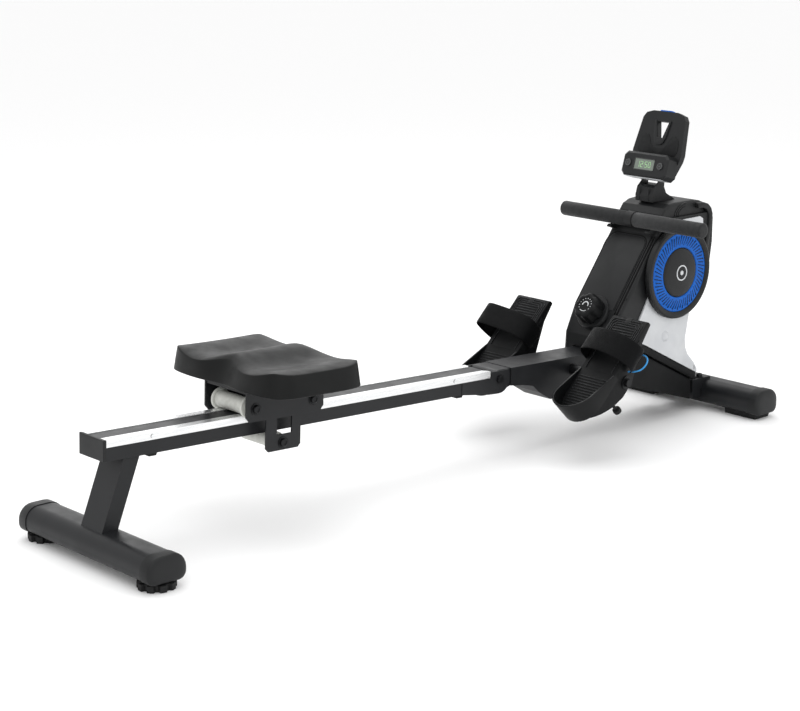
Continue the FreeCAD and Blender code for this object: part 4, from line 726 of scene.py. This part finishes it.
def makeShellDetails():
    look = shellLook
    bm = bmesh.new()
    plate(bm, archOutline(0, 0), -0.4, look["panelHigh"], look["panelSoft"], "Z")
    newPiece("shell_arch_panel", bm, rearFace, "black_plastic", "base", angle=40)
    # near-black flush strips and a ring round the arch: painted shade for the grooves and the gap round the panel
    bm = bmesh.new()
    outer, inner = archOutline(4.2, 0), archOutline(2.2, 0)
    plate(bm, outer + inner[::-1], -0.4, 0.25, 0, "Z")
    for y in (-61, -68.5):
        block(bm, (-8, y - look["grooveWide"], -0.4), (206, y, 0.25))
    newPiece("shell_groove_shade", bm, rearFace, "deep_shadow_rubber", "base", angle=40)
    bm = bmesh.new()
    for y in (-58.6, -65.2, -73.5):  # ridges between the grooves
        block(bm, (-8, y - 1.8, -0.4), (206, y, 1.3), 0.6, 2)
    newPiece("shell_ridges", bm, rearFace, "black_plastic", "base", angle=40)
    # a near-black block: painted shade standing for the vent hole
    bm = bmesh.new()
    u, y = look["hole"]
    block(bm, (u - 3.5, y + 2, -0.2), (u + 3.5, y + 8, 0.5), 0.2, 1)
    newPiece("shell_vent_hole_shade", bm, rearFace, "deep_shadow_rubber", "base", angle=40)
    for side, word in ((-1, "right"), (1, "left")):
        bm = bmesh.new()
        dome = [(0, side * 82), (8, side * 81.4), (12, side * 79.8), (13.5, side * 77.5)]
        turned(bm, dome, "Y", (1592, 0, 218), 40)
        newPiece("panel_button_" + word, bm, upright, "silver_panel", "base", angle=50)
        bm = bmesh.new()  # dark skirt that fills the step below the silver panel
        edge = [(1484, 224), (1522, 209), (1700, 118), (1716, 110)]
        plate(bm, edge + [(x, z - 22) for x, z in reversed(edge)], side * 60, side * 75.5, 0.8)
        newPiece("panel_skirt_" + word, bm, upright, "shade_plastic", "base", angle=40)
        bm = bmesh.new()  # thick rounded band round the housing's front corner
        outside = [(1700, 531), (1722, 531), (1738, 526), (1750, 515), (1756, 500), (1755, 476), (1749, 445)]
        outside.append((1741, 412))
        within = [(1729, 415), (1736, 447), (1742, 478), (1742, 497), (1737, 507), (1729, 514), (1718, 518)]
        within.append((1700, 518))
        plate(bm, outside + within, side * 52, side * 80, 3, segments=3)
        newPiece("shell_band_" + word, bm, upright, "black_plastic", "base", angle=50)
    bm = bmesh.new()  # raised seat and rim that the knob stands on
    turned(bm, [(37, 4.6), (39, 5.4), (41.5, 5.2), (43, 3), (44, -4)], "Z", steps=56)
    newPiece("knob_collar", bm, atKnob, "black_plastic", "base", angle=50)
    bm = bmesh.new()  # curved ribs on the top cover's right shoulder
    for r in (30, 37, 44):
        for k in range(8):
            a, b = (math.radians(92 + 11 * (k + j)) for j in (0, 1))
            spots = [(1668 + r * math.cos(t), 505 + 0.7 * r * math.sin(t)) for t in (a, b)]
            inward = [(1668 + (r - 2) * math.cos(t), 505 + 0.7 * (r - 2) * math.sin(t)) for t in (b, a)]
            plate(bm, spots + inward, -69.4, -66, 0, "Y")
    newPiece("cover_ribs", bm, upright, "black_plastic", "base", angle=40)


makeShellDetails()
print("housing finished")


# round badges: dark rim and hub, blue ring with slots
discLook = {
    "right": {"rim": 113, "deep": 1.0, "side": -1}, "left": {"rim": 96, "deep": 0.4, "side": 1},
    "slots": 60, "slotWide": 2.2, "slotSlant": 20, "ringWide": 36, "markRing": 19,
}


def makeDisc(word):
    look = discLook[word]
    rim, deep, side = look["rim"], look["deep"], look["side"]
    hub = rim - 16.8 - discLook["ringWide"]  # the ring lies between the hub and the raised rim
    depth = [(0, 20.5), (hub - 26, 19.6), (hub - 10, 17.2), (hub - 5, 16.4), (hub - 2, 14.6), (hub - 0.6, 12.8)]
    depth += [(hub, 9), (rim - 16.8, 9), (rim - 16.8, 12.6), (rim - 14, 15.4), (rim - 10, 16.8)]
    depth += [(rim - 5, 16.4), (rim - 1.2, 13.6), (rim, 9), (rim - 0.5, 3), (rim - 3, 0), (0, 0)]
    bm = bmesh.new()
    turned(bm, [(r, side * (78.9 + deep * d)) for r, d in depth], "Y", steps=96)
    newPiece("disc_body_" + word, bm, atWheel, "black_plastic", "base", ["disc_trim_" + word], angle=30)
    bm = bmesh.new()
    band = [(hub + 0.2, 9.1), (hub + 0.2, 13.4), (hub + 2, 14.5), (rim - 32, 13.9), (rim - 18.5, 12.4)]
    band += [(rim - 17, 11.2), (rim - 17, 9.1), (hub + 0.2, 9.1)]
    turned(bm, [(r, side * (78.9 + deep * d)) for r, d in band], "Y", steps=96)
    newPiece("disc_ring_blue_" + word, bm, atWheel, "blue_plastic", "base", ["disc_ring_" + word], angle=30)
    bm = bmesh.new()
    for k in range(discLook["slots"]):
        slit = bmesh.ops.create_cube(bm, size=1)["verts"]
        long = discLook["ringWide"] - (10 if k % 2 else 16)
        bmesh.ops.scale(bm, verts=slit, vec=(long, 1.6, discLook["slotWide"]))
        bmesh.ops.rotate(bm, verts=slit, matrix=Matrix.Rotation(math.radians(discLook["slotSlant"]), 3, "Y"))
        out = rim - 16.8 - discLook["ringWide"] / 2
        bmesh.ops.translate(bm, verts=slit, vec=(out, side * (78.9 + deep * 13.6), 0))
        turn = Matrix.Rotation(math.tau * k / discLook["slots"], 3, "Y")
        bmesh.ops.rotate(bm, verts=slit, cent=(0, 0, 0), matrix=turn)
    newPiece("disc_slots_" + word, bm, atWheel, "slot_blue", "base", angle=30)
    bm = bmesh.new()
    r = discLook["markRing"]
    height = side * (78.9 + deep * 20.5)
    low, high, top = height - side * 1.2, height + side * 0.25, height + side * 0.3
    turned(bm, [(r, low), (r, high), (r - 3, top), (r - 3, low)], "Y", steps=64)
    turned(bm, [(0, top), (6, top), (6, low), (0, low)], "Y", steps=6)
    newPiece("disc_mark_" + word, bm, atWheel, "mark", "base", angle=30)


for word in ("right", "left"):
    makeDisc(word)
print("badges finished")


# tension knob: lobes round a dished cap with a printed scale
knobLook = {"radius": 35, "lobes": 7, "low": 5.5, "arc": 9.5, "dots": 11, "outer": 17, "print": 37.55}


def makeKnob():
    look = knobLook
    bm = bmesh.new()
    rim = []
    for k in range(84):
        a = math.tau * k / 84
        r = look["radius"] - 2.4 + 2.4 * min(1, 1.35 * math.cos(look["lobes"] * a) + 0.6)
        rim.append((r * math.cos(a), r * math.sin(a)))
    face = flatShape(bm, [(x, y, look["low"]) for x, y in rim])
    for up, shrink in ((4, 1.0), (22, 0.97), (4.5, 0.96), (2.4, 0.88), (1.1, 0.8), (-0.8, 0.93), (-1.2, 0.97)):
        moved = pushed(bm, face, (0, 0, up))
        bmesh.ops.scale(bm, verts=moved, vec=(shrink, shrink, 1))
        face = [f for f in bm.faces if all(v in moved for v in f.verts)][0]
    newPiece("tension_knob_lobed", bm, atKnob, "shade_plastic", "knob_body", ["tension_knob"], angle=45)
    bm = bmesh.new()
    level = look["print"]
    for start, count, r, thick in ((-100, 20, look["arc"], 2.6), (145, 7, look["outer"], 1.3)):  # printed arcs
        turn = [math.radians(start + 10 * k) for k in range(count + 1)]
        outside = [(r * math.cos(t), r * math.sin(t)) for t in turn]
        inside = [((r - thick) * math.cos(t), (r - thick) * math.sin(t)) for t in reversed(turn)]
        plate(bm, outside + inside, level - 0.3, level + 0.12, 0, "Z")
    dot = [(0, level + 0.12), (1.1, level + 0.12), (1.1, level - 0.3), (0, level - 0.3)]
    for k in range(look["dots"]):
        a = math.radians(-120 + k * 240 / (look["dots"] - 1))
        turned(bm, dot, "Z", (look["outer"] * math.cos(a), look["outer"] * math.sin(a), 0), 10)
    newPiece("knob_scale", bm, atKnob, "mark", "knob_body", angle=30)


makeKnob()


# handlebar: two foam sleeves, the strap's loop and the strap
barLook = {"radius": 18, "half": 220.5, "gap": 13, "strapEnd": 62}


def makeHandlebar():
    look = barLook
    place = local(1549, 0, 499.5)
    r, half = look["radius"], look["half"]
    bm = bmesh.new()
    for side in (-1, 1):
        sleeve = [(r - 4, look["gap"]), (r - 0.8, look["gap"]), (r, look["gap"] + 1)]
        sleeve += [(r, half - 5), (r - 0.6, half - 2), (r - 2.2, half - 0.4), (r - 6, half), (0, half)]
        turned(bm, [(a, side * b) for a, b in sleeve], "Y", steps=48)
    turned(bm, [(r - 1.6, -look["gap"] - 1), (r - 1.6, look["gap"] + 1)], "Y", steps=48)
    newPiece("handlebar_sleeves", bm, place, "foam_grip", "handle", ["handle_grip"], angle=50)
    bm = bmesh.new()
    turned(bm, [(r + 0.1, -12), (r + 1.3, -11.4), (r + 1.3, 11.4), (r + 0.1, 12)], "Y", steps=48)
    newPiece("handlebar_strap", bm, place, "strap_black", "handle", ["handle_clip"], angle=40)
    bm = bmesh.new()
    block(bm, (r - 0.5, -11, -1.2), (look["strapEnd"], 11, 1.2))
    along = [e for e in bm.edges if abs(e.verts[0].co.x - e.verts[1].co.x) > 1]
    bmesh.ops.subdivide_edges(bm, edges=along, cuts=24)
    strap = newPiece("pull_strap_webbing", bm, place, "strap_black", None, ["pull_strap"], angle=40)
    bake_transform(strap)


makeHandlebar()
print("knob and handlebar finished")


# console: pad, tongue round the grip hole, screen frame and digits, button marks, underside, post
consoleLook = {
    "face": -6, "screen": -41.5, "digits": "12:50", "digitLow": 11.5, "digitHigh": 15, "digitWide": 7.6,
    "stroke": 1.7, "gap": 0.25,
}
litBars = {
    "0": "abcdef", "1": "bc", "2": "abged", "3": "abgcd", "4": "fgbc", "5": "afgcd", "6": "afgedc", "7": "abc",
    "8": "abcdefg", "9": "abcdfg",
}  # which bars each digit lights


def makeConsoleDetails():
    look = consoleLook
    x = look["face"]
    bm = bmesh.new()
    half = [(0, 66), (14, 68), (24, 76), (31, 90), (37, 98), (46, 99), (56, 92), (61, 80), (62, 60), (56, 50)]
    half.append((0, 48))
    pad = half + [(-a, b) for a, b in half[-2:0:-1]]
    plate(bm, pad, x - 1.0, x + 1, 0.6, "X")
    newPiece("console_rubber_pad", bm, atConsole, "pad_rubber", "console_body", angle=40)
    bm = bmesh.new()
    outer = [(25, 134), (23, 118), (19, 92), (13, 79), (5, 74)]
    outer += [(-a, b) for a, b in reversed(outer)]
    inner = [(-19.6, 132), (-8.4, 91.6), (8.4, 91.6), (19.6, 132)]
    plate(bm, outer + inner, x - 3.2, x + 1, 1.0, "X")
    newPiece("console_tongue", bm, atConsole, "black_plastic", "console_body", angle=40)
    bm = bmesh.new()
    w, h, t = look["digitWide"], look["digitHigh"], look["stroke"]
    bars = {
        "a": ((0, h - t), (w, h)), "b": ((w - t, h / 2), (w, h)), "c": ((w - t, 0), (w, h / 2)),
        "d": ((0, 0), (w, t)), "e": ((0, 0), (t, h / 2)), "f": ((0, h / 2), (t, h)),
        "g": ((0, (h - t) / 2), (w, (h + t) / 2)),
    }
    start = 22
    for sign in look["digits"]:
        if sign == ":":
            for z in (14.5, 21.5):
                block(bm, (look["screen"] - 0.25, start - 2.6, z), (look["screen"] + 0.2, start - 1, z + 1.6))
            start -= 3.6
            continue
        for key in litBars[sign]:
            (a0, b0), (a1, b1) = bars[key]
            low = (look["screen"] - 0.25, start - a1 + look["gap"], look["digitLow"] + b0 + look["gap"])
            high = (look["screen"] + 0.2, start - a0 - look["gap"], look["digitLow"] + b1 - look["gap"])
            block(bm, low, high)
        start -= w + 2.6
    newPiece("console_digits", bm, atConsole, "digit_ink", "console_body", angle=30)
    bm = bmesh.new()
    sides = ((-32, 32, 4.4, 6.4), (-32, 32, 31.6, 33.6), (-32, -30, 4.4, 33.6), (30, 32, 4.4, 33.6))
    for y0, y1, z0, z1 in sides:
        block(bm, (-42.6, y0, z0), (-41, y1, z1), 0.4, 2)
    newPiece("console_screen_frame", bm, atConsole, "gloss_black", "console_body", angle=40)
    for flip, word in ((-1, "right"), (1, "left")):
        bm = bmesh.new()
        turned(bm, [(7.2, -44.3), (7.2, -44.72), (6.4, -44.72), (6.4, -44.3)], "X", (0, flip * 49.5, 19), 40)
        if flip > 0:
            turned(bm, [(0, -44.7), (1.2, -44.7), (1.2, -44.3), (0, -44.3)], "X", (0, flip * 49.5, 19), 16)
        else:
            block(bm, (-44.7, flip * 49.5 - 3, 18.5), (-44.3, flip * 49.5 + 3, 19.5))
        newPiece("button_mark_" + word, bm, atConsole, "dim_mark", f"button_{word}_body", angle=30)
    bm = bmesh.new()
    plate(bm, ((-58, -11.6), (58, -11.6), (55, -13), (-55, -13)), -39, -6, 0.3, "X")
    newPiece("console_underside", bm, atConsole, "grey_plastic", "console_body", angle=40)
    bm = bmesh.new()
    for y in (-14, 14):
        block(bm, (1589.6, y - 0.7, 540), (1592, y + 0.7, 572), 0.4, 2)
    for flip in (-1, 1):
        capBolt(bm, (1622, flip * 27, 597), 5.5, 3.2, "Y", flip)
    newPiece("post_ribs", bm, upright, "black_plastic", "base", angle=40)


makeConsoleDetails()
cableRoute = ((1635.9, -48, 611.6), (1652, -48, 606.7), (1653, -34, 584), (1633.9, -25.5, 588))
makeCord(
    "console_lead", cableRoute, 2.4, upright, "base", ["console_cable"], finish="lead_black", length=0.055,
    far_end="object", stiffness="medium", lay="hanging",
)
print("console finished")


# frame: bolts on the saddle and caps on the fold bolt
def makeFrameDetails():
    bm = bmesh.new()
    for side in (-1, 1):
        capBolt(bm, (1779, side * 37, 78), 8, 8.5, "Z")
        turned(bm, [(0, 78), (11, 78), (11, 79.6), (0, 79.6)], "Z", (1779, side * 37, 0), 28)
    newPiece("saddle_bolts", bm, upright, "black_steel", "base", angle=30)
    bm = bmesh.new()
    for side in (-1, 1):
        capBolt(bm, (1067, side * 42.3, -21.5), 9.5, 5.5, "Y", side)
    newPiece("fold_bolt_caps", bm, alongRail, "black_steel", "base", angle=30)


makeFrameDetails()
print("frame finished")


# camera, floor and light
viewLook = {  # angles in degrees, lens in sensor widths, sensor in mm
    "spot": (railRear - 2.0346, -3.1222, 1.3137), "down": 13.7074, "turn": -42.2153, "roll": -0.07,
    "lens": 2.49475, "sensor": 36,
}


def makeView():
    camera = bpy.data.objects.new("camera", bpy.data.cameras.new("camera"))
    bpy.context.scene.collection.objects.link(camera)
    camera.location = viewLook["spot"]
    camera.rotation_euler = [math.radians(a) for a in (90 - viewLook["down"], viewLook["roll"], viewLook["turn"])]
    camera.data.sensor_width = viewLook["sensor"]
    camera.data.lens = viewLook["lens"] * viewLook["sensor"]
    bpy.context.scene.camera = camera


lightLook = {
    "key": ((-2.2, -2.4, 3.0), 2.6, 26), "side": ((1.6, -3.2, 1.9), 2.2, 8), "top": ((0.2, 0.6, 3.4), 3.0, 40),
    "back": ((1.8, 2.8, 2.2), 2.0, 16), "world": 1.0, "floor": "#fbfbfb",
}


def makeStudio():
    bm = bmesh.new()
    bmesh.ops.create_grid(bm, x_segments=1, y_segments=1, size=30)
    mesh = bpy.data.meshes.new("floor")
    bm.to_mesh(mesh)
    bm.free()
    floor = bpy.data.objects.new("floor", mesh)
    bpy.context.scene.collection.objects.link(floor)
    paper = bpy.data.materials.new("studio_paper")
    paper.use_nodes = True
    shader = paper.node_tree.nodes["Principled BSDF"]
    shader.inputs["Base Color"].default_value = linear(lightLook["floor"])
    shader.inputs["Roughness"].default_value = 0.9
    mesh.materials.append(paper)
    for name in ("key", "side", "top", "back"):
        spot, wide, power = lightLook[name]
        lamp = bpy.data.lights.new(name, "AREA")
        lamp.size = wide
        lamp.energy = power
        holder = bpy.data.objects.new(name, lamp)
        bpy.context.scene.collection.objects.link(holder)
        holder.location = spot
        holder.rotation_euler = (Vector((0, 0, 0.3)) - Vector(spot)).to_track_quat("-Z", "Y").to_euler()
    world = bpy.data.worlds.new("studio")
    bpy.context.scene.world = world
    world.use_nodes = True
    world.node_tree.nodes["Background"].inputs[0].default_value = (1, 1, 1, 1)
    world.node_tree.nodes["Background"].inputs[1].default_value = lightLook["world"]
    bpy.context.scene.view_settings.view_transform = "Standard"


makeView()
makeStudio()
print("studio ready")
